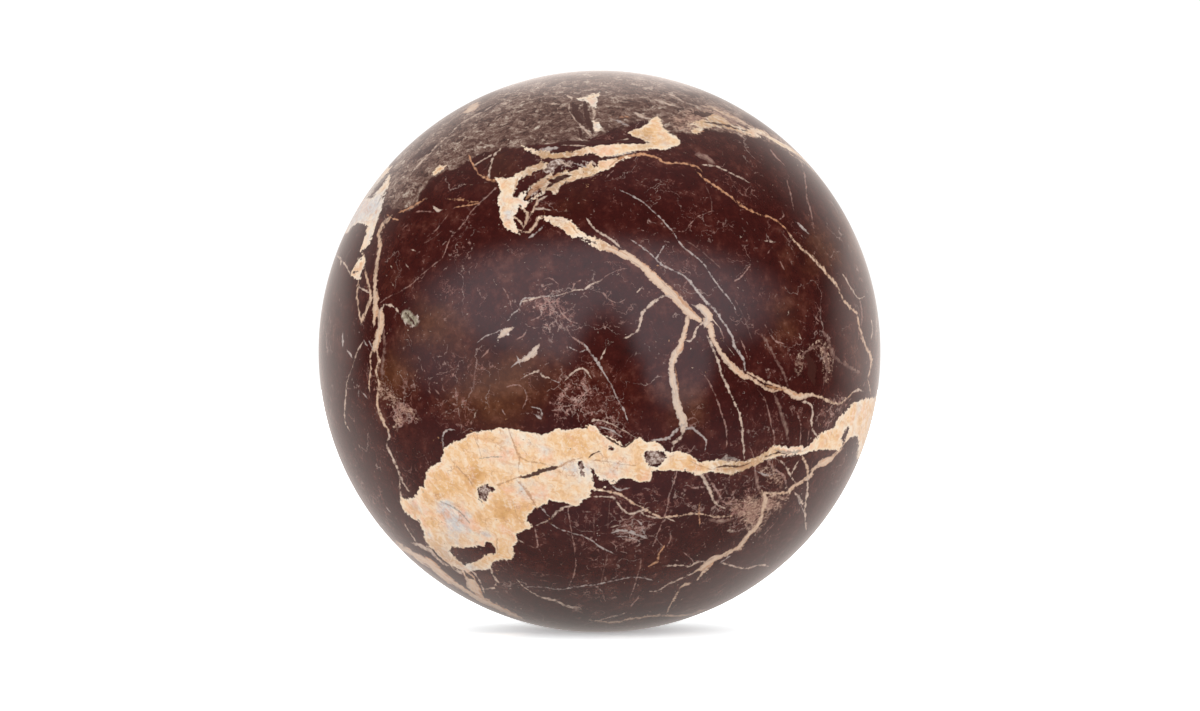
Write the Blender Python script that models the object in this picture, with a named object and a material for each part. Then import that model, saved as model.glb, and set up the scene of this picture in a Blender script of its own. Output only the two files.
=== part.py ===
"""A decorative sphere: one solid ball of polished stone, ground flat beneath so that it doesn't roll.

Metres, +Z up. The origin is the centre of the ground flat, on the surface that the ball stands on.
"""

import math

import bmesh
import bpy

# The ball
BALL_DIAMETER = 0.200
BALL_SEGMENTS = 96
BALL_RINGS = 48

# The round flat beneath, wide enough for the ball to stand steadily, too small to show
FLAT_DIAMETER = 0.024

# The stone, as its dark red ground looks once polished
STONE_COLOUR = (0.058, 0.017, 0.013, 1.0)
STONE_ROUGHNESS = 0.16


def clear_scene():
    """Removes whatever the scene holds."""
    for old in list(bpy.data.objects):
        bpy.data.objects.remove(old, do_unlink=True)


def make_collection(name):
    """A new collection in the scene."""
    collection = bpy.data.collections.new(name)
    bpy.context.scene.collection.children.link(collection)
    return collection


def make_stone():
    """Dark red stone with a high polish."""
    stone = bpy.data.materials.new("polished_red_stone")
    stone.use_nodes = True
    shader = stone.node_tree.nodes["Principled BSDF"]
    shader.inputs["Base Color"].default_value = STONE_COLOUR
    shader.inputs["Roughness"].default_value = STONE_ROUGHNESS
    shader.inputs["Metallic"].default_value = 0.0
    stone.diffuse_color = STONE_COLOUR
    return stone


def centre_height():
    """How high the ball's centre is above its flat: the flat is a chord of the ball."""
    radius = BALL_DIAMETER / 2
    flat_radius = FLAT_DIAMETER / 2
    return math.sqrt(radius**2 - flat_radius**2)


def grind_flat(ball, depth_below_centre):
    """Cuts the ball level at this depth below its centre, and closes the cut with one round face."""
    cut = bmesh.ops.bisect_plane(
        ball,
        geom=list(ball.verts) + list(ball.edges) + list(ball.faces),
        dist=1e-7,
        plane_co=(0.0, 0.0, -depth_below_centre),
        plane_no=(0.0, 0.0, -1.0),
        clear_outer=True,
    )
    rim = [item for item in cut["geom_cut"] if isinstance(item, bmesh.types.BMEdge)]
    bmesh.ops.contextual_create(ball, geom=rim)


def make_ball(collection, stone):
    """The whole ornament: a sphere that rests on its ground flat at the origin."""
    ball = bmesh.new()
    bmesh.ops.create_uvsphere(
        ball,
        u_segments=BALL_SEGMENTS,
        v_segments=BALL_RINGS,
        radius=BALL_DIAMETER / 2,
    )
    grind_flat(ball, centre_height())
    bmesh.ops.translate(ball, verts=ball.verts, vec=(0.0, 0.0, centre_height()))
    bmesh.ops.recalc_face_normals(ball, faces=ball.faces)

    mesh = bpy.data.meshes.new("stone_sphere")
    ball.to_mesh(mesh)
    ball.free()
    mesh.shade_smooth()
    mesh.set_sharp_from_angle(angle=math.radians(6.0))
    mesh.materials.append(stone)

    sphere = bpy.data.objects.new("stone_sphere", mesh)
    collection.objects.link(sphere)
    return sphere


def main():
    clear_scene()
    collection = make_collection("decorative_sphere")
    make_ball(collection, make_stone())


main()
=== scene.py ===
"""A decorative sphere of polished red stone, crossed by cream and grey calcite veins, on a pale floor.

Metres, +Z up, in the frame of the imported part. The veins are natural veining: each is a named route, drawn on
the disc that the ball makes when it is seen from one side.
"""

import math
from collections import namedtuple

import bpy
import numpy as np
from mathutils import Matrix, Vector


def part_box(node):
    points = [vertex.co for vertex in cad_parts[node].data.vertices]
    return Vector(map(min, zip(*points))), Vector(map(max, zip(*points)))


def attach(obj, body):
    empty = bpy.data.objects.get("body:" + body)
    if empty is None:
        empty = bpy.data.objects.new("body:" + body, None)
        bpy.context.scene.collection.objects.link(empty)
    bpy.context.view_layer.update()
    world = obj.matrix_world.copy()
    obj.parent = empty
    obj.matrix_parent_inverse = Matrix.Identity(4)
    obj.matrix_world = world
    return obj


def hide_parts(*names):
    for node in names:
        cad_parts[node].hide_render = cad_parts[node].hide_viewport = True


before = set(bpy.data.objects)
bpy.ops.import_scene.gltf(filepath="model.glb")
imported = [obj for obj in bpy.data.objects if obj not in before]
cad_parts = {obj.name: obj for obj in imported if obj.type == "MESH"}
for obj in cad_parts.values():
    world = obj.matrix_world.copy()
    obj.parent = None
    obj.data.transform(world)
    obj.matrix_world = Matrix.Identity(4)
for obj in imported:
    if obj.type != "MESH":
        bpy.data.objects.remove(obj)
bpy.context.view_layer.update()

# The ball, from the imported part
LOW, HIGH = (np.array(corner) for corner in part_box("stone_sphere"))
BALL_RADIUS = (HIGH[0] - LOW[0]) / 2
BALL_CENTRE = np.array([(LOW[0] + HIGH[0]) / 2, (LOW[1] + HIGH[1]) / 2, HIGH[2] - BALL_RADIUS])
FLAT_RADIUS = math.sqrt(BALL_RADIUS**2 - (BALL_CENTRE[2] - LOW[2]) ** 2)

# The photograph's frame, in its pixels, and the disc that the ball makes there
FRAME_WIDTH = 1200
FRAME_HEIGHT = 711
DISC_X = 599.5
DISC_Y = 351.5
DISC_RADIUS = 281.0
PIXELS_PER_MM = DISC_RADIUS / (BALL_RADIUS * 1000)

# The camera
CAMERA_DISTANCE = 1.5
CAMERA_RISE = math.radians(0.3)
SENSOR_WIDTH = 36.0

# The skin's grid: rings from pole to flat, and meridians, which crowd towards the front
RINGS = 222
MERIDIANS = 448
FRONT_CROWDING = 0.3
TURN_SAMPLES = 20001
SHARP_ANGLE = math.radians(4.0)

# In pixels: how far apart veins stay that share a layer, and how far a vein's or an outline's field reaches
LAYER_GAP = 13.0
VEIN_REACH = 26.0
ROUTE_STEP = 3.0

# Past this many pixels from its edge a vein's half-width falls away, by so much for each pixel
FADE_START = 4.4
FADE_SLOPE = 1.5

# What a field holds in mm where nothing is near, and how many vertices are measured at once
FAR = 9.0
BATCH = 8000

# How far round the disc's rim a vein is drawn, and where a spot has faded away, as cosines to the viewer
PAST_RIM = -0.02
SPOT_FADE = 0.12

# The studio's bright panels and dark gaps on the disc, as level, x, y, half-width, half-height and softness
PANELS = {
    "window": (1.42, 0.0, 0.175, 0.58, 0.21, 0.26),
    "window_right": (1.2, 0.27, -0.02, 0.12, 0.17, 0.3),
    "window_left": (0.75, -0.42, 0.0, 0.26, 0.15, 0.4),
    "right_side": (0.95, 0.96, 0.2, 0.14, 0.5, 0.5),
    "left_side": (0.85, -0.97, 0.05, 0.12, 0.55, 0.5),
    "top_side": (1.2, 0.0, 0.98, 0.6, 0.1, 0.5),
}
GAPS = {"below_window": (0.97, 0.02, -0.1, 0.12, 0.24, 0.3)}

# Broad glows that the ball mirrors: the level, and where on the disc each starts and is full
CEILING_GLOW = (0.45, 0.4, 0.85)
FLOOR_GLOW = (0.36, 0.05, 0.42)
RIM_GLOW = (0.8, 0.76, 1.0)
BOTTOM_GLOW = (0.52, 0.75, 0.97)
LOW_RIM_SHIFT = (0.1, 0.0, 0.35)
DIMMEST = 0.05
COOL_TO_WARM = (0.6, 0.85)

# The white tent that lights the floor and the ball evenly: its level, and how much more comes from below
TENT_LEVEL = 1.22
TENT_FALL = 0.35
BACKDROP_LEVEL = 1.1

# The white paper floor, to the camera and to all else: its colour and the light added to it
FLOOR_REACH = 6.0
FLOOR_EXPOSURE = (2.16, 2.27, 2.28, 1.0)
FLOOR_VEIL = 0.33
FLOOR_PAPER = (0.95, 0.95, 0.95, 1.0)
FLOOR_LIFT = 0.1

# Tones of pale vein, and of what crosses the calcite
ORANGE, CREAM, PALE, GREY, PINK, SMOKE = 0.0, 0.2, 0.4, 0.6, 0.8, 1.0
DARK, RUST, SLATE = 0.0, 0.5, 1.0

# The stone's colours along each of its scales
WINE = [(0.15, "#2D0D0A"), (0.5, "#401511"), (0.85, "#5B261D")]
UMBER = [(0.15, "#432013"), (0.5, "#58301C"), (0.85, "#74462E")]
CRUMBS = [
    (0.18, "#2E1512"), (0.36, "#51332B"), (0.5, "#6A4B41"),
    (0.62, "#86695D"), (0.76, "#B49E8E"), (0.92, "#DCCDBD"),
]
GREYS = [(0.25, "#54372F"), (0.55, "#957A6F"), (0.85, "#DCCBC0")]
GREENS = [(0.4, "#4A4234"), (0.65, "#6C6350"), (0.8, "#978D76"), (1.0, "#B9AE98")]
TAWNY = [(0.1, "#5E362F"), (0.36, "#8F685B"), (0.6, "#BC9682"), (0.85, "#E6CBB4")]
VEIN_TONES = [
    (ORANGE, "#CB9169"), (CREAM, "#D6B69C"), (PALE, "#CDB5A4"),
    (GREY, "#B3A8A4"), (PINK, "#A67E73"), (SMOKE, "#7B5A52"),
]
CREAMS = [
    (0.0, "#D6D2D1"), (0.2, "#E1D7CF"), (0.36, "#F4DABE"),
    (0.52, "#F7CFA2"), (0.68, "#EFBF88"), (0.95, "#D8A05E"),
]
CRACK_TONES = [(DARK, "#43211B"), (RUST, "#B98560"), (SLATE, "#8C7F77")]

# Hairlines of calcite, about 0.25 mm wide, which is coarser than the real ones, so that they show. Nets have
# cells of a size and lines of a width in mm, threads a noise of a size in mm and how near zero it has to be.
# Each has how crowded the ground must be, and its colour.
HAIRLINE_NETS = [
    (9.0, 0.3, 0.6, "#A88A80"), (4.2, 0.24, 0.85, "#A0746B"),
    (2.2, 0.2, 1.0, "#A26D62"), (1.2, 0.16, 1.1, "#C7A498"),
]
HAIRLINE_THREADS = [
    (40.0, 0.0026, -0.02, "#B59A90"), (22.0, 0.0036, 0.02, "#A37D73"),
    (12.0, 0.005, 0.05, "#93645A"), (6.0, 0.009, 0.1, "#A06E63"),
]

# Painted highlights and painted shade of soft wrinkles on the cream calcite, as if lit from one side: size in
# mm and amount, shaded by the noise's change over a step in metres
PAINTED_WRINKLE_LIGHT = [(9.0, 1.0), (3.8, 0.8)]
PAINTED_WRINKLE_LIGHT_STEP = (0.0004, 0.0, 0.0004)

# The polish, and the refraction of calcite under it
POLISH_ROUGHNESS = 0.12
CALCITE_IOR = 1.5

Route = namedtuple("Route", "side tone curve widths")
Grain = namedtuple("Grain", "place crumpled fine small middling broad wander bulge chips")


def from_side(azimuth, rise):
    """The directions towards a viewer, to the viewer's right and up, for a viewer at this turn and rise."""
    toward = np.array(
        [math.sin(azimuth) * math.cos(rise), -math.cos(azimuth) * math.cos(rise), math.sin(rise)]
    )
    right = np.array([math.cos(azimuth), math.sin(azimuth), 0.0])
    return toward, right, np.cross(right, -toward)


SIDES = {
    "front": from_side(0.0, CAMERA_RISE),
    "right": from_side(math.radians(90), CAMERA_RISE),
    "back": from_side(math.radians(180), CAMERA_RISE),
    "left": from_side(math.radians(270), CAMERA_RISE),
    "top": from_side(0.0, math.radians(89.9)),
}

# Outlines and routes are written as x, y, x, y and so on, in pixels of the disc of their side

# Broad cream calcite, as outlines
CALCITE = {"front": {
    "great_patch": [
        400, 497, 404, 499, 412, 498, 417, 495, 418, 490, 420, 487, 424, 486, 428, 470, 436, 462,
        440, 463, 441, 457, 444, 453, 444, 447, 450, 444, 455, 443, 456, 441, 461, 440, 474, 431,
        480, 431, 502, 428, 507, 428, 526, 432, 546, 435, 556, 429, 563, 430, 583, 428, 592, 424,
        597, 428, 600, 433, 604, 436, 611, 438, 624, 446, 640, 438, 650, 443, 655, 441, 660, 444,
        665, 449, 670, 452, 678, 451, 685, 452, 695, 458, 700, 463, 705, 461, 720, 459, 725, 462,
        745, 461, 762, 455, 775, 445, 793, 448, 800, 446, 806, 447, 812, 443, 816, 438, 826, 430,
        832, 430, 840, 418, 852, 404, 858, 401, 874, 397, 880, 420, 874, 445, 864, 462, 857, 458,
        859, 440, 856, 436, 846, 440, 843, 446, 838, 450, 833, 449, 817, 450, 810, 452, 805, 455,
        781, 455, 768, 460, 755, 465, 733, 475, 720, 472, 703, 473, 700, 475, 688, 471, 670, 470,
        652, 472, 650, 480, 640, 482, 628, 478, 624, 478, 607, 487, 602, 491, 591, 490, 590, 496,
        577, 506, 562, 502, 555, 502, 549, 500, 549, 503, 537, 508, 527, 516, 526, 519, 533, 527,
        516, 534, 519, 541, 513, 546, 512, 550, 515, 555, 510, 559, 497, 560, 491, 563, 491, 568,
        488, 570, 470, 571, 464, 573, 460, 570, 449, 565, 437, 555, 434, 550, 430, 547, 425, 540,
        421, 524, 416, 519, 413, 519, 404, 512,
    ],
    "neck": [
        493, 178, 514, 177, 518, 173, 524, 170, 527, 167, 533, 166, 538, 163, 544, 162, 548, 163,
        546, 170, 541, 169, 530, 175, 523, 177, 518, 181, 513, 195, 516, 201, 519, 203, 520, 207,
        512, 218, 514, 220, 520, 234, 518, 235, 509, 230, 506, 230, 500, 215, 499, 206, 496, 201,
        501, 192, 500, 188,
    ],
    "band": [
        520, 145, 540, 151, 552, 153, 570, 151, 590, 147, 610, 145, 630, 143, 650, 144, 642, 139,
        634, 137, 626, 132, 632, 131, 647, 123, 651, 119, 656, 117, 660, 119, 663, 129, 668, 131,
        678, 138, 681, 142, 678, 145, 672, 147, 668, 150, 650, 149, 640, 150, 620, 154, 612, 156,
        600, 157, 593, 153, 585, 155, 565, 157, 545, 158, 530, 153,
    ],
    "neck_patch": [
        600, 161, 611, 160, 628, 156, 631, 157, 617, 162, 609, 169, 590, 176, 581, 178, 584, 174,
        591, 171, 596, 167,
    ],
    "fan_band": [
        515, 198, 531, 186, 548, 175, 567, 170, 575, 170, 581, 167, 586, 167, 591, 163, 595, 167,
        596, 171, 590, 175, 581, 178, 565, 183, 560, 187, 557, 193, 554, 196, 551, 195, 552, 191,
        550, 190, 539, 197, 532, 200, 523, 209, 520, 206, 516, 205,
    ],
    "main_head": [
        537, 217, 548, 215, 566, 218, 572, 221, 581, 232, 597, 239, 611, 246, 606, 250, 600, 250,
        581, 241, 574, 239, 561, 228, 546, 221,
    ],
    "streak_mass": [
        691, 132, 696, 134, 705, 129, 714, 126, 735, 130, 753, 136, 762, 138, 757, 134, 745, 128,
        728, 123, 723, 118, 716, 115, 702, 112, 711, 118, 702, 119, 694, 123, 688, 124, 683, 122,
        690, 126, 700, 125, 702, 126, 696, 128,
    ],
    "streak_short": [748, 127, 763, 131, 766, 134, 759, 134, 752, 131],
    "left_limb": [
        388, 172, 378, 176, 366, 187, 356, 201, 345, 220, 341, 236, 349, 231, 352, 227, 357, 224,
        362, 223, 369, 226, 364, 238, 359, 254, 369, 245, 377, 221, 381, 211, 386, 192, 391, 176,
    ],
    "left_star": [
        358, 257, 360, 260, 363, 256, 366, 258, 365, 266, 362, 270, 361, 278, 358, 280, 351, 275,
        351, 271, 357, 262,
    ],
    "amber_wedge": [431, 173, 436, 168, 441, 165, 447, 165, 441, 171, 434, 175],
    "crown_left": [576, 99, 583, 98, 600, 92, 597, 100, 596, 107, 592, 108, 590, 103],
    "crown_wedge": [592, 120, 600, 124, 603, 127, 600, 130, 593, 131],
}, "right": {
    # The wedge that the front ends in, carried on round the right side
    "band": [
        548, 402, 558, 398, 570, 395, 583, 397, 594, 392, 606, 394, 616, 398, 626, 393, 640, 388,
        650, 390, 661, 386, 674, 391, 682, 389, 693, 396, 704, 399, 712, 405, 724, 403, 748, 395,
        757, 390, 768, 391, 776, 387, 790, 391, 800, 396, 812, 399, 826, 396, 838, 401, 846, 408,
        836, 412, 822, 410, 810, 414, 799, 411, 788, 415, 776, 411, 766, 416, 757, 414, 748, 421,
        737, 424, 728, 431, 716, 428, 706, 432, 697, 428, 690, 436, 680, 437, 672, 446, 661, 449,
        655, 458, 644, 461, 638, 468, 626, 466, 617, 473, 606, 468, 598, 470, 592, 461, 583, 457,
        578, 448, 571, 441, 566, 430, 560, 421, 552, 414,
    ],
    "band_spur": [640, 464, 646, 474, 641, 486, 645, 497, 638, 507, 633, 495, 635, 482, 630, 470],
    # Streaks that come over from the front's upper limb
    "streak": [
        506, 132, 518, 132, 531, 136, 546, 139, 558, 145, 573, 148, 588, 155, 602, 158, 618, 167,
        633, 172, 650, 182, 661, 192, 650, 190, 636, 182, 621, 177, 606, 168, 590, 164, 574, 157,
        558, 154, 545, 148, 530, 145, 516, 140,
    ],
    "streak_low": [560, 168, 574, 172, 588, 180, 604, 186, 616, 195, 602, 193, 586, 188, 572, 180],
}, "back": {
    "band": [
        352, 402, 364, 397, 378, 394, 392, 398, 404, 392, 416, 388, 424, 380, 436, 377, 446, 369,
        458, 366, 470, 359, 484, 361, 494, 357, 508, 361, 520, 359, 530, 367, 543, 368, 552, 376,
        563, 379, 569, 389, 578, 395, 576, 404, 583, 411, 574, 416, 570, 426, 558, 428, 550, 437,
        541, 434, 533, 444, 521, 445, 515, 455, 506, 457, 500, 468, 489, 471, 481, 480, 472, 474,
        461, 473, 455, 463, 447, 458, 444, 447, 434, 443, 427, 434, 416, 432, 408, 423, 396, 421,
        386, 414, 374, 416, 360, 411,
    ],
    "islet": [590, 392, 600, 388, 609, 393, 606, 402, 596, 404],
}, "left": {
    # The patch that shows at the front's left limb, carried on round the left side
    "patch": [
        660, 160, 648, 163, 636, 157, 622, 160, 610, 154, 596, 157, 584, 162, 572, 161, 561, 169,
        550, 172, 542, 181, 531, 186, 526, 197, 516, 204, 513, 215, 504, 223, 499, 235, 503, 246,
        512, 243, 520, 250, 531, 246, 541, 253, 552, 251, 560, 262, 569, 259, 578, 262, 584, 252,
        594, 248, 600, 238, 612, 235, 622, 226, 634, 228, 646, 222, 660, 226, 668, 215, 666, 200,
        672, 186, 668, 172,
    ],
    "star": [600, 262, 606, 256, 614, 260, 612, 270, 618, 280, 610, 284, 602, 276],
    # The band at the front's lower left rim
    "low_band": [
        655, 556, 640, 550, 630, 546, 616, 537, 600, 535, 586, 528, 570, 528, 556, 520, 541, 521,
        528, 513, 513, 513, 502, 505, 492, 496, 478, 497, 481, 507, 490, 514, 499, 524, 513, 530,
        527, 538, 543, 540, 557, 549, 573, 550, 588, 559, 603, 561, 618, 563, 632, 560, 646, 560,
    ],
    "low_spur": [560, 548, 566, 558, 562, 570, 568, 582, 560, 590, 556, 576, 558, 562],
}}

# Dark stone inside the outlines above
HOLES = {"front": {
    "fan_brown": [523, 199, 530, 190, 536, 187, 541, 187, 542, 190, 538, 194, 527, 200],
    "fan_lens": [547, 187, 552, 181, 569, 174, 567, 177, 549, 187],
    "fan_slit": [546, 180, 550, 177, 556, 175, 552, 178],
    "head_lens": [575, 237, 590, 239, 597, 243, 582, 240],
    "streak_slit": [700, 117, 710, 118, 716, 121, 708, 121],
    "long_hole": [
        449, 550, 452, 547, 463, 548, 484, 546, 486, 543, 490, 542, 494, 544, 497, 549, 496, 554,
        485, 555, 478, 562, 466, 563, 464, 566, 455, 558,
    ],
    "eye": [478, 489, 481, 486, 486, 484, 497, 489, 490, 493, 483, 505, 478, 495],
    "curl": [578, 462, 582, 460, 584, 465, 583, 470, 586, 476, 583, 479, 580, 474],
    "right_hole": [608, 443, 611, 444, 615, 449, 612, 453, 608, 450],
    "ground_tongue": [592, 465, 597, 476, 600, 480, 607, 481, 613, 480, 607, 486, 596, 489, 592, 478],
    "block": [645, 451, 655, 450, 664, 453, 667, 458, 661, 464, 652, 467, 645, 462],
    "wedge_slit": [840, 441, 848, 426, 850, 429, 843, 443],
    "band_dark": [600, 138, 612, 134, 636, 127, 645, 121, 648, 123, 638, 129, 628, 131, 612, 137],
    "left_limb_hole": [382, 195, 385, 194, 385, 198, 382, 200],
    "left_limb_wedge": [366, 199, 374, 189, 386, 174, 389, 176, 380, 188, 372, 198],
    "neck_hole": [514, 193, 516, 194, 516, 198, 513, 198],
}, "right": {
    "slit": [636, 424, 650, 416, 664, 411, 682, 409, 694, 412, 684, 419, 668, 421, 654, 429, 641, 432],
    "eye": [604, 430, 611, 424, 619, 427, 621, 436, 613, 441, 605, 438],
}, "back": {
    "slit": [
        462, 420, 472, 410, 484, 404, 498, 402, 512, 405, 520, 411, 508, 414, 496, 413, 486, 419,
        478, 428, 468, 430,
    ],
    "eye": [432, 402, 440, 396, 449, 399, 450, 408, 441, 413, 433, 410],
}, "left": {
    "slit": [553, 222, 562, 211, 574, 204, 588, 201, 598, 205, 590, 213, 579, 221, 566, 228, 556, 230],
    "low_slit": [540, 528, 556, 532, 572, 538, 566, 542, 550, 537],
}}

# Small patches where grey calcite and ground are mixed
MOTTLED = {"front": {
    "under_band": [
        545, 164, 551, 161, 560, 159, 577, 162, 584, 161, 592, 164, 586, 168, 576, 166, 566, 167,
        545, 175, 541, 171,
    ],
    "fan_brown": [523, 199, 530, 190, 536, 187, 541, 187, 542, 190, 538, 194, 527, 200],
    "neck_stripes": [583, 173, 591, 170, 600, 171, 598, 174, 590, 177, 583, 178],
    "shoe": [535, 344, 540, 350, 538, 354, 533, 354, 529, 359, 520, 362, 518, 361, 530, 352],
    "centre_patch": [500, 330, 503, 328, 510, 328, 512, 331, 510, 334, 502, 338, 497, 342],
    "green_patch": [
        401, 316, 405, 312, 410, 311, 415, 312, 420, 317, 422, 321, 413, 329, 409, 328, 402, 320,
    ],
    "eye": [478, 488, 484, 484, 491, 485, 497, 489, 489, 494, 485, 505, 479, 500],
    "block": [644, 450, 655, 449, 665, 453, 668, 458, 661, 465, 652, 468, 644, 463],
    "eye_curl": [577, 460, 585, 458, 590, 464, 591, 474, 587, 481, 579, 478],
    "grey_end": [716, 459, 725, 455, 738, 457, 741, 462, 728, 464],
    "grey_band": [773, 449, 785, 446, 800, 447, 806, 451, 795, 456, 780, 457],
}, "right": {
    "under_band": [
        700, 436, 716, 434, 730, 438, 744, 430, 756, 424, 752, 436, 738, 446, 720, 449, 706, 446,
    ],
    "islet": [690, 255, 702, 249, 714, 254, 712, 264, 700, 268, 690, 263],
}, "back": {
    "above_patch": [
        500, 352, 514, 348, 528, 352, 541, 357, 552, 366, 541, 366, 528, 360, 514, 358, 502, 358,
    ],
    "shoe": [700, 336, 712, 330, 722, 334, 730, 344, 722, 352, 702, 344],
}, "left": {
    "beside_patch": [498, 250, 508, 252, 512, 262, 505, 272, 496, 268, 493, 258],
    "shoe": [430, 372, 441, 366, 450, 372, 448, 382, 437, 386, 429, 381],
}}

# Streaked, half-clear calcite: pink-beige under the right arm, amber at the upper right limb
STREAKED = {"front": {
    "right_low": [
        724, 503, 737, 499, 760, 493, 776, 492, 790, 493, 788, 500, 779, 512, 768, 515, 764, 528,
        756, 536, 748, 532, 738, 520,
    ],
    "under_arm": [758, 466, 768, 463, 779, 470, 788, 482, 780, 488, 768, 482, 762, 474],
    "arch": [
        795, 374, 796, 358, 802, 348, 811, 343, 822, 340, 830, 346, 833, 358, 832, 374, 826, 386,
        823, 374, 822, 360, 816, 351, 808, 352, 803, 361, 801, 376,
    ],
    "upper_limb": [
        664, 122, 676, 114, 690, 108, 704, 104, 718, 106, 734, 114, 750, 123, 766, 133, 782, 144,
        774, 145, 756, 138, 742, 136, 728, 131, 714, 129, 702, 134, 690, 134, 676, 131,
    ],
    "left_fan": [
        376, 380, 383, 382, 390, 391, 398, 395, 408, 404, 418, 414, 420, 421, 412, 416, 407, 417,
        403, 426, 396, 432, 392, 428, 396, 417, 397, 410, 379, 397, 374, 389,
    ],
}, "right": {
    "limb": [
        500, 120, 520, 122, 545, 128, 570, 138, 596, 148, 622, 160, 646, 176, 668, 198, 682, 220,
        664, 212, 640, 196, 612, 182, 584, 176, 556, 164, 530, 152, 506, 144,
    ],
    "under_band": [636, 472, 664, 466, 700, 472, 730, 492, 724, 502, 690, 494, 656, 488],
}, "back": {
    "beside_vein": [598, 240, 622, 250, 640, 272, 650, 300, 640, 304, 622, 286, 604, 264],
    "low": [500, 462, 536, 458, 580, 474, 612, 500, 600, 508, 560, 492, 520, 482],
}, "left": {
    "low": [500, 500, 520, 494, 544, 498, 566, 510, 580, 524, 560, 520, 536, 512, 514, 508],
}}

# Speckled, brecciated stone from the upper veins to the crown
BRECCIA = {"front": {
    "crown": [
        385, 205, 400, 210, 410, 210, 416, 205, 421, 190, 434, 176, 446, 168, 458, 169, 468, 160,
        485, 153, 500, 149, 520, 145, 545, 143, 575, 141, 600, 135, 620, 129, 640, 121, 655, 116,
        680, 118, 700, 105, 690, 92, 650, 84, 600, 84, 545, 88, 510, 98, 480, 113, 460, 124, 450, 134,
        440, 143, 430, 152, 419, 159, 397, 168, 388, 178, 384, 194,
    ],
}, "right": {
    "crown": [
        420, 140, 446, 132, 470, 134, 492, 126, 512, 116, 540, 110, 566, 108, 590, 100, 618, 92,
        600, 76, 560, 72, 520, 76, 480, 92, 446, 112,
    ],
}, "back": {
    "crown": [
        520, 82, 500, 96, 508, 112, 530, 122, 552, 118, 574, 128, 598, 134, 622, 128, 646, 138,
        668, 150, 692, 152, 714, 166, 738, 172, 762, 188, 784, 196, 772, 176, 752, 156, 728, 134,
        700, 112, 668, 94, 630, 80, 590, 74, 550, 74,
    ],
}, "left": {
    "crown": [
        700, 150, 690, 168, 672, 162, 650, 152, 628, 146, 606, 148, 582, 152, 560, 162, 536, 168,
        512, 182, 490, 190, 470, 204, 450, 214, 462, 190, 486, 160, 516, 130, 552, 104, 590, 84,
        630, 78, 668, 90, 700, 110, 724, 132,
    ],
}, "top": {
    "crown": [
        470, 452, 505, 458, 560, 462, 620, 462, 680, 440, 718, 412, 738, 376, 742, 335, 728, 300,
        700, 275, 665, 262, 630, 255, 590, 262, 550, 262, 515, 248, 490, 238, 462, 226, 440, 222,
        424, 236, 436, 262, 446, 285, 440, 320, 428, 355, 424, 392, 438, 426,
    ],
}}

# Pinkish, netted stone: veinlets crowd together
NETTED = {"front": {
    "left_low": [395, 402, 408, 402, 416, 414, 412, 424, 400, 428, 392, 418],
    "limb_net": [822, 398, 840, 396, 854, 398, 846, 412, 834, 428, 820, 434, 814, 418],
}, "right": {
    "low": [690, 470, 722, 462, 760, 470, 800, 492, 796, 504, 756, 494, 716, 486],
}, "back": {
    "middle": [630, 322, 670, 318, 716, 334, 760, 362, 752, 372, 706, 354, 660, 342],
}, "left": {
    "middle": [540, 372, 580, 368, 622, 384, 650, 412, 640, 420, 600, 404, 560, 392],
}}

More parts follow.
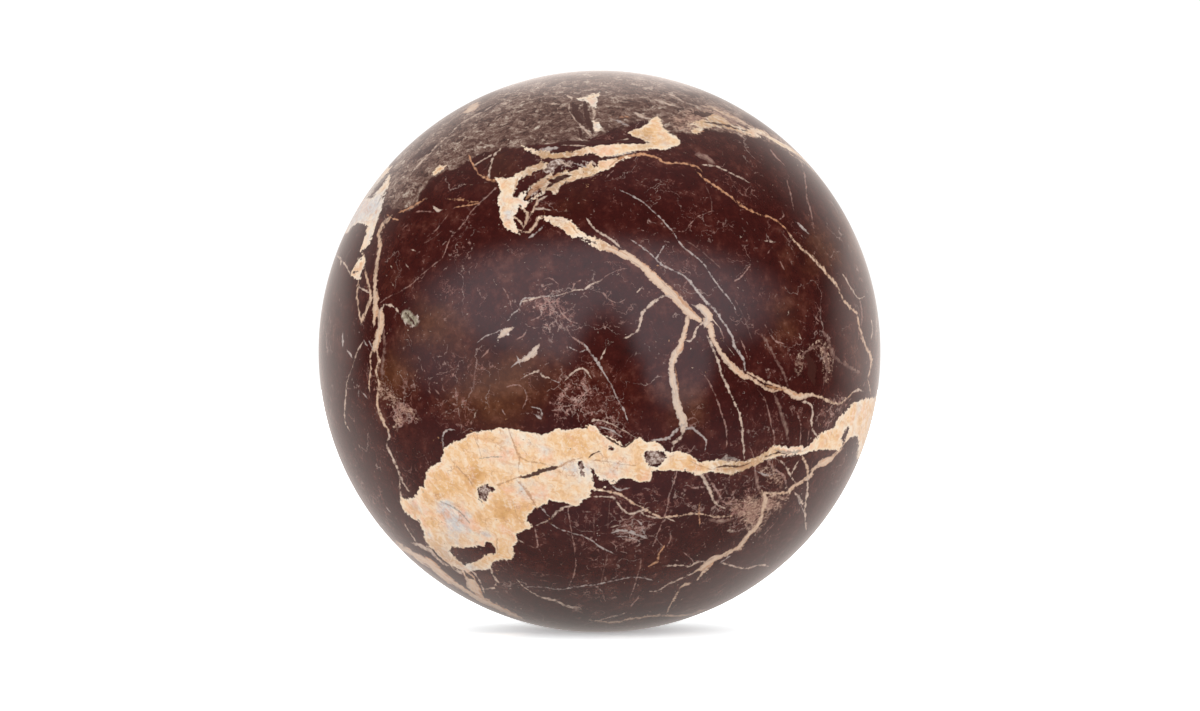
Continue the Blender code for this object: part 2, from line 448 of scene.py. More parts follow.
# Pale veins, by side: name: (tone, full width in pixels along the route, route)
VEINS = {"front": {
    # The main vein, from the neck down to the right
    "main": (CREAM, (5, 6, 8, 8, 9, 10, 10, 9, 7), [
        598, 246, 608, 248, 617, 251, 635, 261, 646, 269, 656, 279, 665, 288, 675, 298, 684, 307,
        698, 319,
    ]),
    "main_foot": (CREAM, (6, 6, 5, 5, 6, 6, 5), [
        706, 321, 711, 328, 712, 336, 716, 345, 723, 355, 731, 366, 740, 373, 747, 377,
    ]),
    "main_foot_low": (CREAM, (3, 4, 4, 2), [744, 374, 761, 385, 772, 391, 782, 389]),
    "main_foot_high": (CREAM, (2, 3, 3, 2), [748, 373, 760, 379, 771, 384, 784, 388]),
    "main_end": (CREAM, (5, 8, 7, 4, 3, 2.5, 1.5, 1), [
        784, 388, 793, 395, 800, 397, 808, 395, 817, 396, 838, 404, 848, 397, 853, 392,
    ]),
    "main_end_light": (PALE, (1, 3, 1), [852, 393, 857, 390, 863, 391]),
    "knot": (PALE, (5, 8, 8, 5), [696, 306, 703, 309, 709, 316, 706, 324]),
    "side_branch": (PALE, (3, 3, 3, 2.5, 2, 1.5), [
        671, 297, 661, 297, 643, 312, 641, 321, 636, 332, 625, 338,
    ]),
    "down_head": (CREAM, (4, 5, 5, 6), [688, 317, 686, 327, 683, 338, 679, 349]),
    "down_branch": (PALE, (6, 7, 7, 8, 7, 8, 9, 9), [
        680, 347, 674, 357, 672, 368, 673, 380, 676, 392, 676, 402, 683, 420, 683, 427,
    ]),
    "down_foot_left": (GREY, (4, 3, 3, 1.5), [682, 426, 675, 431, 668, 438, 652, 440]),
    "down_foot_right": (GREY, (3, 3, 2.5, 1.5), [685, 429, 693, 428, 700, 434, 706, 441, 705, 450]),
    "down_foot_middle": (PALE, (4, 3, 2), [684, 430, 681, 437, 674, 443, 672, 450]),
    "down_bracket": (PALE, (2, 2, 2), [703, 322, 697, 328, 693, 337, 690, 341, 684, 340]),
    "rib_a": (PALE, (3, 2.5, 2.5, 2, 2, 2, 2), [
        708, 338, 714, 350, 719, 365, 723, 377, 729, 391, 735, 403, 740, 416, 742, 428, 743, 443,
        744, 458,
    ]),
    "rib_b": (PINK, (1.5, 1.5, 1.5, 1.2), [
        703, 373, 711, 386, 716, 397, 720, 409, 724, 420, 727, 434, 726, 447,
    ]),
    "rib_d": (PINK, (1.5, 1.5, 1), [741, 341, 745, 350, 747, 358]),
    "rib_e": (GREY, (2.5, 3, 2.5, 2), [733, 343, 738, 352, 744, 361, 745, 370]),
    "rib_f": (PINK, (1, 1, 1), [717, 324, 721, 330, 724, 342]),
    "rib_g": (PINK, (1.2, 1.2, 1.2), [760, 392, 765, 399, 768, 409, 771, 424, 774, 434, 774, 447]),
    "rib_h": (SMOKE, (3, 4, 4, 3), [774, 394, 779, 406, 784, 420, 787, 432, 788, 442]),
    "rib_i": (PINK, (1.3, 1.3, 1.3), [750, 447, 754, 458, 755, 473, 759, 490]),
    "rib_hook": (PALE, (2, 2, 2, 2), [803, 402, 811, 405, 813, 412, 811, 421, 813, 430, 818, 437]),
    "rib_j": (PINK, (1, 1, 1), [797, 412, 801, 428, 800, 444]),
    "rib_k": (PINK, (1, 1, 1), [809, 430, 808, 445]),
    "rib_l": (SMOKE, (2, 2.5, 2, 2), [762, 335, 769, 347, 777, 361, 784, 374, 788, 387]),
    "rib_m": (PINK, (1, 1.3, 1), [765, 325, 771, 335, 776, 342, 784, 344]),
    # Long grey hairlines left and right of the main vein
    "hair_a": (GREY, (1, 1.3, 1.5, 1.3, 1.3, 1.2), [
        620, 190, 633, 196, 644, 203, 655, 213, 664, 222, 673, 232, 681, 245, 693, 255, 703, 263,
        711, 275, 720, 288, 731, 301, 736, 310,
    ]),
    "hair_b": (PINK, (1.2, 1.3, 1), [672, 231, 684, 231, 691, 223, 699, 216, 712, 211]),
    "hair_c": (GREY, (1.2, 1.5, 2, 1.5, 2, 2.5, 2.5, 2, 1.5), [
        631, 240, 643, 248, 655, 258, 663, 266, 677, 272, 688, 279, 697, 291, 705, 301, 713, 308,
        721, 319, 729, 331, 737, 350,
    ]),
    "hair_d": (GREY, (2, 1.5, 1), [657, 257, 661, 251, 664, 246]),
    "hair_e": (PALE, (2, 2.5, 2.5, 1.5), [587, 219, 593, 227, 600, 233, 610, 239, 620, 247]),
    "hair_f": (PINK, (1, 1, 1), [600, 281, 608, 275, 618, 270, 628, 268]),
    "hair_g": (PINK, (1, 1.2, 1), [594, 290, 603, 293, 610, 300, 617, 303, 625, 299]),
    "hair_h": (PALE, (1, 2, 1), [637, 292, 642, 287]),
    "hair_i": (PINK, (1.3, 1.3, 1), [735, 281, 741, 277, 750, 266]),
    "hair_j": (SMOKE, (1, 1, 1), [685, 240, 700, 250, 720, 268]),
    "hair_l": (SMOKE, (1, 1.3, 1), [712, 211, 711, 200, 706, 186]),
    "hair_m": (SMOKE, (1, 1.3, 1), [735, 300, 742, 312, 748, 328, 752, 340]),
    # Upper right vein, from the top band to the right limb
    "upper_start": (ORANGE, (2.5, 3, 2, 2, 2, 1.5), [
        622, 158, 634, 155, 646, 155, 657, 158, 664, 163, 674, 163, 688, 164, 698, 167, 702, 171,
    ]),
    "upper_a": (ORANGE, (1.5, 2, 2, 2.4, 1.6, 1.4), [
        696, 170, 705, 179, 718, 188, 731, 197, 742, 206, 757, 213, 772, 218, 783, 226, 790, 235,
    ]),
    "upper_b": (CREAM, (2, 2.5, 3, 3, 2.5, 1.5, 3, 2), [
        789, 234, 799, 246, 809, 255, 819, 265, 830, 277, 838, 288, 842, 297, 849, 306, 857, 314,
    ]),
    "upper_c": (CREAM, (2, 2, 2.5, 3, 1.5, 1, 1, 1), [
        857, 314, 862, 337, 871, 358, 870, 369, 868, 378, 871, 394,
    ]),
    "upper_fork": (PALE, (1.5, 1.5, 1), [703, 165, 718, 167, 731, 173, 750, 183]),
    "upper_pink": (SMOKE, (1.2, 1.5, 1), [780, 230, 786, 238, 793, 247]),
    "upper_spur": (PINK, (1, 1.2, 1), [782, 211, 784, 216, 780, 219]),
    "upper_spindle": (GREY, (1, 3, 1), [796, 222, 803, 228, 809, 234]),
    "upper_mark_a": (PALE, (1, 2, 1), [765, 241, 775, 242]),
    "upper_mark_b": (PINK, (1, 1.5, 1), [772, 248, 768, 253]),
    "upper_mark_c": (PINK, (1, 1.3, 1), [780, 262, 784, 269]),
    "limb_a": (PALE, (1.2, 1.5, 1.2), [843, 275, 850, 287, 858, 298, 864, 297]),
    "limb_b": (PINK, (1, 1.3, 1), [860, 300, 862, 313, 861, 326]),
    "limb_c": (PALE, (1, 1.3, 1), [871, 320, 873, 330, 871, 339]),
    "limb_d": (PINK, (1, 2, 1), [814, 315, 819, 321]),
    "limb_e": (SMOKE, (2, 3, 4, 4, 3), [823, 331, 829, 343, 834, 356, 846, 365, 858, 372]),
    "limb_arch": (SMOKE, (1, 2, 2, 2, 1), [800, 360, 804, 353, 822, 346, 827, 368, 823, 386]),
    "limb_f": (PINK, (1, 1.3, 1), [770, 149, 775, 156, 785, 166]),
    "limb_g": (PINK, (1, 1.3, 1), [787, 180, 790, 192, 794, 210]),
    "limb_h": (PINK, (1, 1.4, 1.4, 1), [806, 186, 807, 198, 811, 212, 813, 225]),
    "limb_i": (PINK, (1, 1.3, 1), [800, 158, 804, 172, 806, 186]),
    "limb_spark": (PALE, (1, 2.5, 1), [799, 334, 801, 339]),
    # Streaks at the top right limb
    "streak_a": (CREAM, (2, 3, 4, 3, 2), [700, 113, 711, 115, 721, 118, 729, 125, 741, 132, 754, 137]),
    "streak_b": (CREAM, (1.5, 2.5, 3.5, 3, 2), [703, 106, 715, 109, 728, 115, 740, 121, 752, 127]),
    "streak_c": (CREAM, (3, 5, 5, 2), [746, 131, 754, 131, 762, 133, 778, 142]),
    "streak_d": (ORANGE, (2, 3, 1), [693, 132, 698, 131, 704, 131]),
    "streak_f": (SMOKE, (3, 7, 4), [697, 155, 705, 157, 712, 162]),
    "streak_g": (PALE, (1, 2.5, 1.5), [668, 94, 676, 97, 683, 102]),
    "streak_h": (PALE, (1.5, 2, 1), [655, 100, 668, 104, 683, 108]),
    # The top band and what hangs from it
    "band_thin_a": (PALE, (1, 1.3, 1), [545, 144, 555, 143]),
    "band_thin_b": (PALE, (1, 1.3, 1), [562, 145, 585, 146]),
    "band_thin_c": (PALE, (1, 1.3, 1), [617, 141, 628, 139]),
    "band_grey": (GREY, (2, 5, 2), [540, 150, 549, 149, 557, 148]),
    "lilac": (GREY, (2, 3, 3, 2), [606, 159, 615, 156, 624, 154, 633, 153]),
    "neck_s3": (SMOKE, (1.2, 1.2, 1), [557, 187, 575, 180, 588, 178, 603, 173]),
    "neck_bits_a": (PALE, (2, 3, 1.5), [560, 162, 566, 164, 571, 167]),
    "neck_bits_b": (GREY, (1.5, 2.5, 1.5), [575, 163, 585, 167, 593, 169]),
    "neck_bits_c": (PALE, (1.5, 2, 2), [586, 169, 592, 162, 597, 167]),
    "neck_orange": (ORANGE, (2, 2.5, 2), [609, 168, 616, 162, 626, 158]),
    "neck_fine": (PINK, (1, 1, 1), [613, 171, 606, 178]),
    "neck_fine_b": (PALE, (1.5, 1.5, 1), [536, 209, 539, 200, 547, 196]),
    "loop_a": (CREAM, (2.5, 3, 2.5), [514, 217, 520, 221, 524, 228]),
    "loop_b": (CREAM, (2.5, 2.5, 2.5, 2), [519, 206, 525, 211, 528, 215, 524, 227]),
    "loop_c": (PALE, (1.5, 1.5), [522, 209, 529, 200]),
    "loop_d": (CREAM, (2, 2.5, 2, 1.5), [537, 199, 535, 207, 530, 216, 524, 227]),
    "loop_e": (PALE, (2, 2, 1.5), [535, 209, 542, 209, 550, 210]),
    "loop_arch": (CREAM, (2.5, 3, 3, 3), [520, 230, 528, 232, 535, 226, 538, 219, 543, 217]),
    "loop_grey": (GREY, (2, 2, 1.5), [530, 237, 537, 232, 543, 226]),
    "left_arm_a": (PALE, (2, 2, 2), [489, 179, 490, 169, 493, 157, 500, 149]),
    "left_arm_b": (PALE, (1.3, 1.5, 1.3), [474, 166, 481, 161, 491, 155]),
    "left_arm_c": (ORANGE, (1.5, 2, 3, 3), [469, 156, 473, 165, 480, 175, 488, 179, 497, 181]),
    "whisker_a": (ORANGE, (1.5, 2.5, 1.5), [449, 199, 462, 200, 478, 202]),
    "whisker_b": (ORANGE, (1.5, 2, 1.5), [456, 207, 468, 205, 480, 203]),
    "whisker_tail": (PINK, (1.5, 1.3, 1.2, 1.2, 1, 1, 1), [
        496, 188, 480, 203, 470, 213, 465, 222, 457, 231, 449, 240, 443, 257, 436, 263, 424, 273,
        415, 281, 400, 292, 388, 297, 380, 303,
    ]),
    "whisker_spot": (PALE, (2, 4, 2), [434, 207, 437, 210, 441, 210]),
    "whisker_b2": (PINK, (1, 1, 1), [447, 215, 438, 228, 428, 236]),
    "whisker_c": (SMOKE, (1, 1, 1), [441, 232, 433, 238, 425, 243]),
    "whisker_d": (PINK, (1.2, 1.5, 1), [417, 212, 424, 211, 433, 212]),
    "speck_a": (PALE, (1, 2, 1), [412, 250, 415, 251]),
    "speck_b": (PALE, (1, 2, 1), [406, 264, 408, 267]),
    "speck_c": (PALE, (1, 2, 1), [392, 283, 394, 286]),
    # The crown
    "crown_a": (PALE, (1.2, 1.5, 1.5, 1.3, 1), [
        410, 175, 419, 165, 430, 153, 440, 143, 450, 134, 460, 124, 480, 113, 500, 101,
    ]),
    "crown_rim": (PALE, (1, 1.5, 2, 1.5), [569, 104, 570, 112, 583, 128, 590, 135]),
    "crown_streak": (PALE, (1, 3, 1), [579, 114, 582, 118, 584, 122]),
    "crown_c": (PALE, (1.5, 3, 2, 2), [592, 107, 594, 114, 593, 122, 596, 131]),
    "crown_d": (PALE, (1.5, 3, 1.5), [577, 138, 584, 141, 589, 141]),
    "crown_e": (PALE, (1, 3, 1), [567, 96, 571, 98, 571, 101]),
    "crown_f": (PALE, (1, 2.5, 1), [548, 104, 560, 104]),
    "crown_g": (PALE, (1, 2.5, 1), [520, 103, 528, 99, 535, 99]),
    "crown_h": (PALE, (1, 2, 1), [500, 104, 510, 104]),
    "crown_i": (PALE, (2, 4, 3, 1.5), [634, 113, 640, 115, 645, 118, 652, 119]),
    "crown_j": (GREY, (1, 2.5, 1), [611, 119, 620, 122, 629, 126]),
    "crown_k": (ORANGE, (1, 2.5, 1), [620, 117, 630, 117]),
    "crown_l": (CREAM, (3, 8, 4), [465, 112, 471, 109, 478, 104]),
    "crown_m": (PALE, (1, 2.5, 1), [500, 95, 510, 93, 519, 90]),
    # The left limb
    "left_vein_a": (CREAM, (3.5, 4, 4, 4, 4), [390, 217, 382, 226, 379, 234, 380, 246, 378, 257]),
    "left_vein_b": (CREAM, (4, 4, 5, 5, 5), [378, 257, 376, 271, 375, 286, 376, 303, 374, 322]),
    "left_vein_c": (CREAM, (6, 7, 6, 7, 5), [381, 312, 381, 323, 379, 334, 374, 350]),
    "left_tick_a": (ORANGE, (2, 2, 1), [388, 216, 393, 219, 398, 220]),
    "left_tick_b": (ORANGE, (2, 2, 1.5), [400, 212, 412, 207, 425, 199]),
    "ladder_a": (CREAM, (2, 2, 1.8, 1.8), [374, 349, 370, 356, 371, 366, 369, 384, 370, 391]),
    "ladder_b": (CREAM, (2, 2, 2, 2, 2, 2.5, 3, 3), [
        376, 350, 379, 361, 376, 371, 379, 385, 377, 401, 379, 413, 383, 422, 388, 430,
    ]),
    "ladder_smoke": (SMOKE, (3, 3, 3, 2), [384, 330, 384, 350, 382, 372, 386, 388]),
    "star_left": (CREAM, (2, 2, 2, 2), [359, 280, 357, 292, 358, 305, 361, 322]),
    "star_right": (CREAM, (2, 2, 2, 3, 4, 2), [365, 268, 367, 280, 370, 292, 370, 303, 361, 320]),
    "star_cross": (PALE, (1.5, 1.5), [359, 287, 369, 293]),
    "limb_left_a": (PALE, (1.5, 2, 1), [336, 255, 341, 259, 340, 266]),
    "limb_left_b": (PALE, (1.5, 1.5, 1), [343, 262, 347, 268, 351, 275]),
    "far_left": (PALE, (1.2, 1.2, 1.2, 1.2, 1), [
        363, 342, 357, 352, 353, 366, 347, 383, 345, 404, 345, 421, 350, 431,
    ]),
    "far_left_b": (GREY, (1, 1.5, 1), [359, 390, 359, 397]),
    "far_left_c": (GREY, (1, 1.8, 1), [362, 392, 367, 398]),
    "far_left_d": (GREY, (1, 1.5, 1), [364, 340, 367, 346]),
    "far_left_e": (GREY, (1, 1.5, 1), [369, 341, 373, 350]),
    "far_left_h": (GREY, (1.5, 2.5, 1), [343, 333, 343, 347]),
    "far_left_i": (GREY, (1, 2, 1), [347, 350, 352, 358]),
    "arch_left": (PALE, (2, 2, 2, 1.5), [380, 311, 384, 305, 392, 306, 400, 314]),
    "under_left_a": (PALE, (2, 1.5, 1.5, 2.5, 2, 1.5), [
        388, 430, 389, 437, 387, 446, 392, 457, 397, 469, 402, 481, 409, 491,
    ]),
    "under_left_b": (PALE, (1.5, 1.5, 1.5), [400, 480, 400, 492, 403, 503, 406, 512]),
    "under_left_c": (PALE, (1, 1.5, 1), [404, 524, 410, 533, 417, 544]),
    "under_left_d": (GREY, (1, 1.3, 1), [386, 507, 390, 512]),
    "crest": (GREY, (1.5, 2.5, 2, 1.5), [454, 430, 447, 430, 443, 436, 443, 447]),
    "squiggle_a": (PINK, (1, 1.2, 1), [434, 388, 441, 396]),
    "squiggle_b": (PINK, (1, 1.2, 1), [453, 397, 457, 400]),
    # The middle
    "centre_a": (GREY, (1.5, 1.5, 1.5, 1.3), [
        508, 320, 512, 314, 519, 309, 523, 299, 536, 298, 548, 296, 560, 295,
    ]),
    "centre_b": (PALE, (1, 1.5, 2, 1.5, 1), [558, 295, 575, 290, 584, 290, 592, 284, 600, 281]),
    "centre_c": (PALE, (1, 2, 1.5), [521, 302, 529, 300, 541, 297]),
    "centre_d": (PINK, (1.2, 1.2), [580, 280, 575, 283, 572, 290]),
    "centre_e": (PINK, (1, 1.2, 1), [503, 288, 508, 297, 512, 309]),
    "centre_f": (GREY, (1.3, 1.3, 1), [500, 330, 493, 334, 486, 336, 478, 342]),
    "centre_g": (PINK, (1.2, 1.5, 1), [518, 339, 524, 335, 526, 330]),
    "centre_h": (PINK, (1, 1.2, 1), [539, 308, 542, 315, 531, 320]),
    "centre_i": (PINK, (1, 1.2, 1), [557, 302, 560, 311, 568, 320, 580, 324]),
    "centre_j": (PINK, (1, 1.5, 1), [566, 326, 572, 337, 582, 343, 585, 348]),
    "centre_k": (PINK, (1, 1.2, 1), [545, 279, 551, 278, 558, 284]),
    "shoe": (PALE, (3, 6, 5, 3), [538, 346, 534, 352, 527, 358, 519, 362]),
    "centre_blob": (PALE, (4, 7, 4), [500, 336, 506, 332, 511, 329]),
    "above_patch_a": (PALE, (1, 2.5, 1.5, 1.2, 1), [587, 425, 596, 420, 608, 423, 622, 429, 636, 438]),
    "above_patch_b": (GREY, (1, 1.6, 1), [600, 427, 611, 430, 622, 437]),
    "shoe_tail_a": (GREY, (1.5, 1.3), [518, 361, 512, 367]),
    "shoe_tail_b": (GREY, (1, 1), [516, 355, 521, 366]),
    "arch_a": (PALE, (1.5, 3, 2, 1.5), [524, 377, 537, 371, 543, 376, 549, 378]),
    "arch_b": (GREY, (1, 1.8, 1), [552, 380, 559, 383]),
    "stroke_a": (GREY, (2, 3, 3, 1.5), [584, 344, 590, 352, 597, 361, 602, 370]),
    "stroke_b": (GREY, (1.2, 1.5, 1), [569, 347, 579, 352, 585, 350]),
    "curl_a": (PALE, (1.2, 1.8, 1.8, 1.2), [565, 380, 575, 371, 584, 369, 591, 378]),
    "curl_b": (PINK, (1.2, 1.2, 1.2), [507, 387, 518, 385, 525, 390, 527, 398, 523, 408]),
    "hook_a": (GREY, (1.5, 2, 2, 1.5), [532, 407, 541, 409, 541, 418, 535, 415]),
    "tick_a": (PALE, (1.2, 2.2, 1), [477, 411, 471, 423]),
    "tick_b": (SMOKE, (1, 1, 1), [477, 361, 474, 377, 474, 392]),
    "tick_c": (PINK, (1, 1.2, 1), [489, 349, 482, 357]),
    "tick_d": (PINK, (1, 1.2, 1), [502, 409, 505, 415]),
    "spark_a": (PALE, (1, 2.2, 1), [606, 348, 603, 354, 600, 360]),
    "grey_a": (GREY, (1.2, 1.2, 1.3, 1.2, 1), [
        595, 359, 602, 371, 611, 384, 616, 396, 623, 409, 628, 422,
    ]),
    # Below the great patch
    "low_a": (GREY, (1.3, 1.5, 1), [540, 506, 545, 512, 552, 519]),
    "low_b": (PALE, (2, 2.5, 2.5, 3, 2, 1.5), [
        577, 505, 568, 506, 560, 510, 555, 514, 551, 519, 537, 525,
    ]),
    "low_c": (GREY, (1.3, 1.3, 1.3, 1.3), [550, 523, 562, 530, 580, 535, 591, 540, 600, 547, 613, 553]),
    "low_d": (PINK, (1.5, 1.5, 1.3, 1.2), [
        568, 507, 570, 523, 573, 540, 575, 554, 576, 565, 573, 577, 569, 586,
    ]),
    "low_e": (PINK, (1, 1.3, 1.3), [535, 528, 537, 541, 537, 548, 529, 546]),
    "low_f": (PALE, (1, 1.3, 1), [519, 540, 524, 543]),
    "low_g": (PALE, (1, 1.3, 1.5, 2, 2), [
        516, 578, 522, 585, 531, 592, 544, 598, 556, 601, 567, 606, 580, 609,
    ]),
    "low_h": (GREY, (1, 1, 1.2, 1, 1), [
        526, 587, 543, 587, 560, 589, 575, 587, 600, 584, 615, 580, 636, 577, 652, 580,
    ]),
    "low_i": (SMOKE, (2, 5, 3), [571, 612, 576, 610, 581, 612]),
    "low_pink_a": (SMOKE, (1, 1.2, 1), [610, 500, 609, 514, 608, 528]),
    "low_pink_b": (SMOKE, (1, 1.2, 1), [594, 515, 594, 535]),
    "low_pink_c": (SMOKE, (1, 1.2, 1), [607, 555, 604, 570, 601, 583]),
    # Cream line right of the middle, at the bottom
    "line_a": (CREAM, (2, 2.5, 2.5, 2.5, 2), [598, 489, 618, 494, 630, 501, 643, 508, 661, 518]),
    "line_b": (CREAM, (2, 2, 2.3, 2, 2), [661, 518, 675, 516, 690, 514, 703, 514, 716, 517, 731, 516]),
    "line_c": (PALE, (1.5, 2, 1.5, 2, 2), [595, 497, 613, 498, 622, 509, 632, 514, 647, 508]),
    "line_d": (PALE, (1.5, 1.5), [639, 510, 646, 516, 658, 518]),
    "line_e": (PALE, (1, 1.5), [667, 518, 674, 521]),
    "line_f": (GREY, (1.5, 2, 1.2), [613, 486, 619, 490, 629, 488]),
    "line_g": (PALE, (4, 4, 3.5, 3, 2), [700, 474, 706, 482, 715, 502, 724, 508]),
    "line_h": (PINK, (2, 2, 2, 1.5), [706, 473, 714, 487, 720, 496, 726, 503, 738, 504]),
    "line_i": (PINK, (1.5, 1.5, 1.5, 1.5, 1.2), [
        677, 470, 673, 486, 669, 497, 667, 509, 662, 523, 658, 533, 653, 546,
    ]),
    "line_j": (PINK, (1.2, 1.5, 1.2), [671, 532, 670, 540, 667, 546]),
    "line_k": (ORANGE, (1.5, 2, 2, 1.5), [664, 546, 659, 554, 657, 561, 649, 566]),
    "line_l": (PINK, (1.2, 1.3, 1.2, 1), [641, 560, 639, 570, 635, 584, 630, 598]),
    "line_m": (PINK, (1, 1.2, 1), [639, 596, 631, 606]),
    "line_n": (PINK, (1.5, 2.5, 1.5), [692, 488, 703, 487]),
    "line_o": (ORANGE, (1.2, 1.5, 1.2), [700, 503, 699, 513, 700, 525]),
    "line_p": (SMOKE, (3, 6, 3), [711, 520, 721, 521, 731, 520]),
    "line_q": (PALE, (1.5, 3, 1.5), [728, 531, 733, 531]),
    "cluster_a": (GREY, (1.2, 3, 3.4, 2.6, 1), [612, 533, 620, 531, 632, 533, 642, 536, 648, 539]),
    "cluster_b": (GREY, (1, 2.4, 2.6, 2, 1), [637, 521, 642, 525, 643, 531, 647, 537]),
    "cluster_c": (PALE, (1, 2, 1), [611, 527, 620, 525]),
    "cluster_d": (GREY, (1, 1.6, 1), [616, 536, 628, 537, 640, 541]),
    # Right branch below the wedge
    "wedge_root": (CREAM, (2, 2.5, 3), [847, 440, 840, 449, 832, 457]),
    "wedge_blob": (CREAM, (5, 8, 6), [831, 458, 826, 461, 820, 464]),
    "wedge_a": (CREAM, (4, 3.5, 4, 4, 4, 3, 3), [
        820, 464, 813, 470, 809, 477, 792, 488, 786, 493, 762, 493,
    ]),
    "wedge_b": (CREAM, (4, 4, 4, 4, 5, 5, 4), [
        763, 493, 766, 501, 763, 509, 761, 519, 756, 528, 749, 534, 745, 541, 738, 548,
    ]),
    "wedge_c": (CREAM, (5, 4, 4, 4, 4, 2.5), [740, 547, 720, 557, 711, 563, 698, 579]),
    "wedge_blob_low": (CREAM, (4, 8, 5, 2), [722, 556, 711, 561, 703, 567, 694, 573]),
    "wedge_d": (CREAM, (3, 3, 2.5), [803, 457, 807, 466, 809, 478]),
    "wedge_e": (PALE, (2, 2, 2, 1.5), [808, 480, 807, 494, 805, 510, 806, 529]),
    "wedge_f": (PALE, (1.5, 2, 2, 1.5), [774, 457, 784, 464, 790, 475, 795, 482]),
    "wedge_g": (PINK, (2, 2.5, 3, 2), [767, 460, 774, 468, 783, 476, 788, 488]),
    "wedge_h": (GREY, (1.5, 2, 1.5), [755, 471, 766, 475, 777, 473]),
    "wedge_i": (PALE, (1, 1.8, 1), [799, 461, 795, 467, 791, 475]),
    "wedge_j": (PALE, (2, 4, 3), [795, 493, 799, 497, 802, 503]),
    "wedge_k": (GREY, (1, 1.3, 1), [798, 499, 804, 512]),
    "wedge_l": (SMOKE, (2, 4, 4, 2), [756, 472, 757, 482, 760, 492]),
    "tail_a": (PALE, (1, 1.5, 1.5, 1.5), [650, 591, 657, 591, 669, 584, 681, 579, 695, 572]),
    "tail_b": (PALE, (1.5, 2, 1.5, 1), [664, 566, 677, 565, 689, 566, 697, 562, 706, 561]),
    "tail_c": (PINK, (1, 1.2), [684, 553, 692, 559, 693, 562]),
    "tail_d": (GREY, (1, 1.3), [720, 563, 730, 556]),
    "tail_e": (PALE, (1.5, 1.5, 1.5, 1.2), [722, 563, 741, 568, 750, 568, 758, 565, 768, 566]),
    "tail_f": (CREAM, (1.5, 2, 2, 1.5), [690, 583, 682, 586, 671, 604, 667, 613]),
    "bottom_a": (CREAM, (1.5, 2.5, 2, 2, 2, 1), [
        590, 620, 605, 622, 618, 622, 630, 619, 650, 616, 664, 615, 677, 616, 692, 614, 706, 609,
    ]),
    "bottom_b": (PALE, (1, 1.5), [600, 620, 612, 617, 624, 613]),
    # The band along the lower left limb
    "rim_low": (CREAM, (3, 5, 7, 9, 8, 5, 5, 6, 6, 5, 3), [
        397, 542, 408, 551, 418, 557, 430, 564, 441, 573, 460, 587, 470, 593, 482, 600, 496, 606,
        510, 613, 522, 619,
    ]),
    "rim_high": (PALE, (2, 3, 4, 4, 3, 3), [413, 543, 424, 547, 432, 552, 441, 561, 460, 573]),
    "rim_piece": (CREAM, (5, 11, 12, 9, 4), [465, 573, 471, 579, 473, 587, 478, 594, 484, 600]),
    "rim_strand": (PALE, (2, 2, 2), [472, 571, 479, 579, 484, 592]),
    "rim_tick_a": (PALE, (1, 2, 1), [490, 568, 494, 577, 499, 583]),
    "rim_tick_b": (PALE, (1, 2.5, 1), [496, 583, 494, 588, 486, 589]),
}, "right": {
    "upper": (PALE, (1.5, 2, 2.5, 2, 2.5, 2, 1.5), [
        527, 345, 534, 328, 548, 312, 560, 300, 578, 290, 596, 281, 612, 268, 634, 254, 655, 246,
        676, 232, 700, 226, 724, 214,
    ]),
    "upper_end": (PALE, (2, 3, 3, 2, 3, 2, 1.2), [
        724, 214, 744, 210, 762, 216, 778, 228, 798, 238, 812, 256, 828, 266,
    ]),
    "upper_spur": (PINK, (1.2, 1.4, 1), [612, 268, 622, 286, 640, 298, 650, 318]),
    "band_low": (CREAM, (6, 5, 6, 4, 5, 3, 2), [
        742, 420, 752, 434, 764, 446, 772, 462, 788, 476, 796, 494, 810, 506, 816, 524,
    ]),
    "band_low_b": (PALE, (3, 3, 2, 2, 1.5), [772, 462, 766, 484, 768, 502, 758, 524, 760, 548]),
    "band_low_c": (CREAM, (4, 4, 3, 3, 2, 1.5), [
        600, 466, 596, 482, 604, 496, 600, 514, 608, 530, 604, 548,
    ]),
    "band_tip": (CREAM, (5, 6, 4, 5), [822, 403, 838, 406, 852, 404, 868, 408]),
    "rib_a": (PALE, (2.5, 2.5, 2, 2, 2, 1.5), [
        676, 448, 682, 470, 678, 492, 686, 516, 684, 540, 692, 566,
    ]),
    "rib_b": (PINK, (1.4, 1.4, 1.4, 1.2), [650, 460, 656, 486, 650, 512, 654, 540, 646, 566]),
    "rib_c": (PINK, (1.2, 1.3, 1.2), [714, 430, 722, 452, 720, 478, 730, 500]),
    "rib_d": (GREY, (1.4, 1.6, 1.2), [540, 420, 546, 446, 542, 470, 552, 500, 550, 526]),
    "hair_a": (GREY, (1, 1.4, 1.6, 1.4, 1.2), [
        600, 176, 606, 204, 602, 232, 612, 262, 608, 290, 618, 320, 614, 352, 624, 386,
    ]),
    "hair_b": (GREY, (1.2, 1.6, 2, 1.6, 1.2), [
        690, 250, 696, 276, 706, 302, 704, 330, 716, 356, 718, 392,
    ]),
    "hair_c": (PINK, (1, 1.3, 1), [640, 300, 662, 310, 680, 304, 704, 312]),
    "hair_d": (SMOKE, (1, 1.3, 1), [560, 210, 576, 230, 584, 256, 600, 270]),
    "hair_e": (PALE, (1, 1.6, 1.4, 1), [780, 300, 774, 322, 784, 346, 780, 372]),
    "hair_f": (PINK, (1, 1.3, 1.3, 1), [540, 560, 566, 572, 594, 570, 620, 582]),
    "streak_a": (CREAM, (2, 3, 4, 3, 2), [520, 150, 544, 158, 566, 170, 590, 176, 612, 190]),
    "streak_b": (PALE, (1.5, 3, 2), [640, 196, 656, 208, 668, 224]),
    "streak_c": (ORANGE, (1.5, 2.5, 1.5), [540, 128, 562, 134, 584, 142]),
    "spark_a": (PALE, (1, 3, 1), [660, 352, 668, 350, 674, 355]),
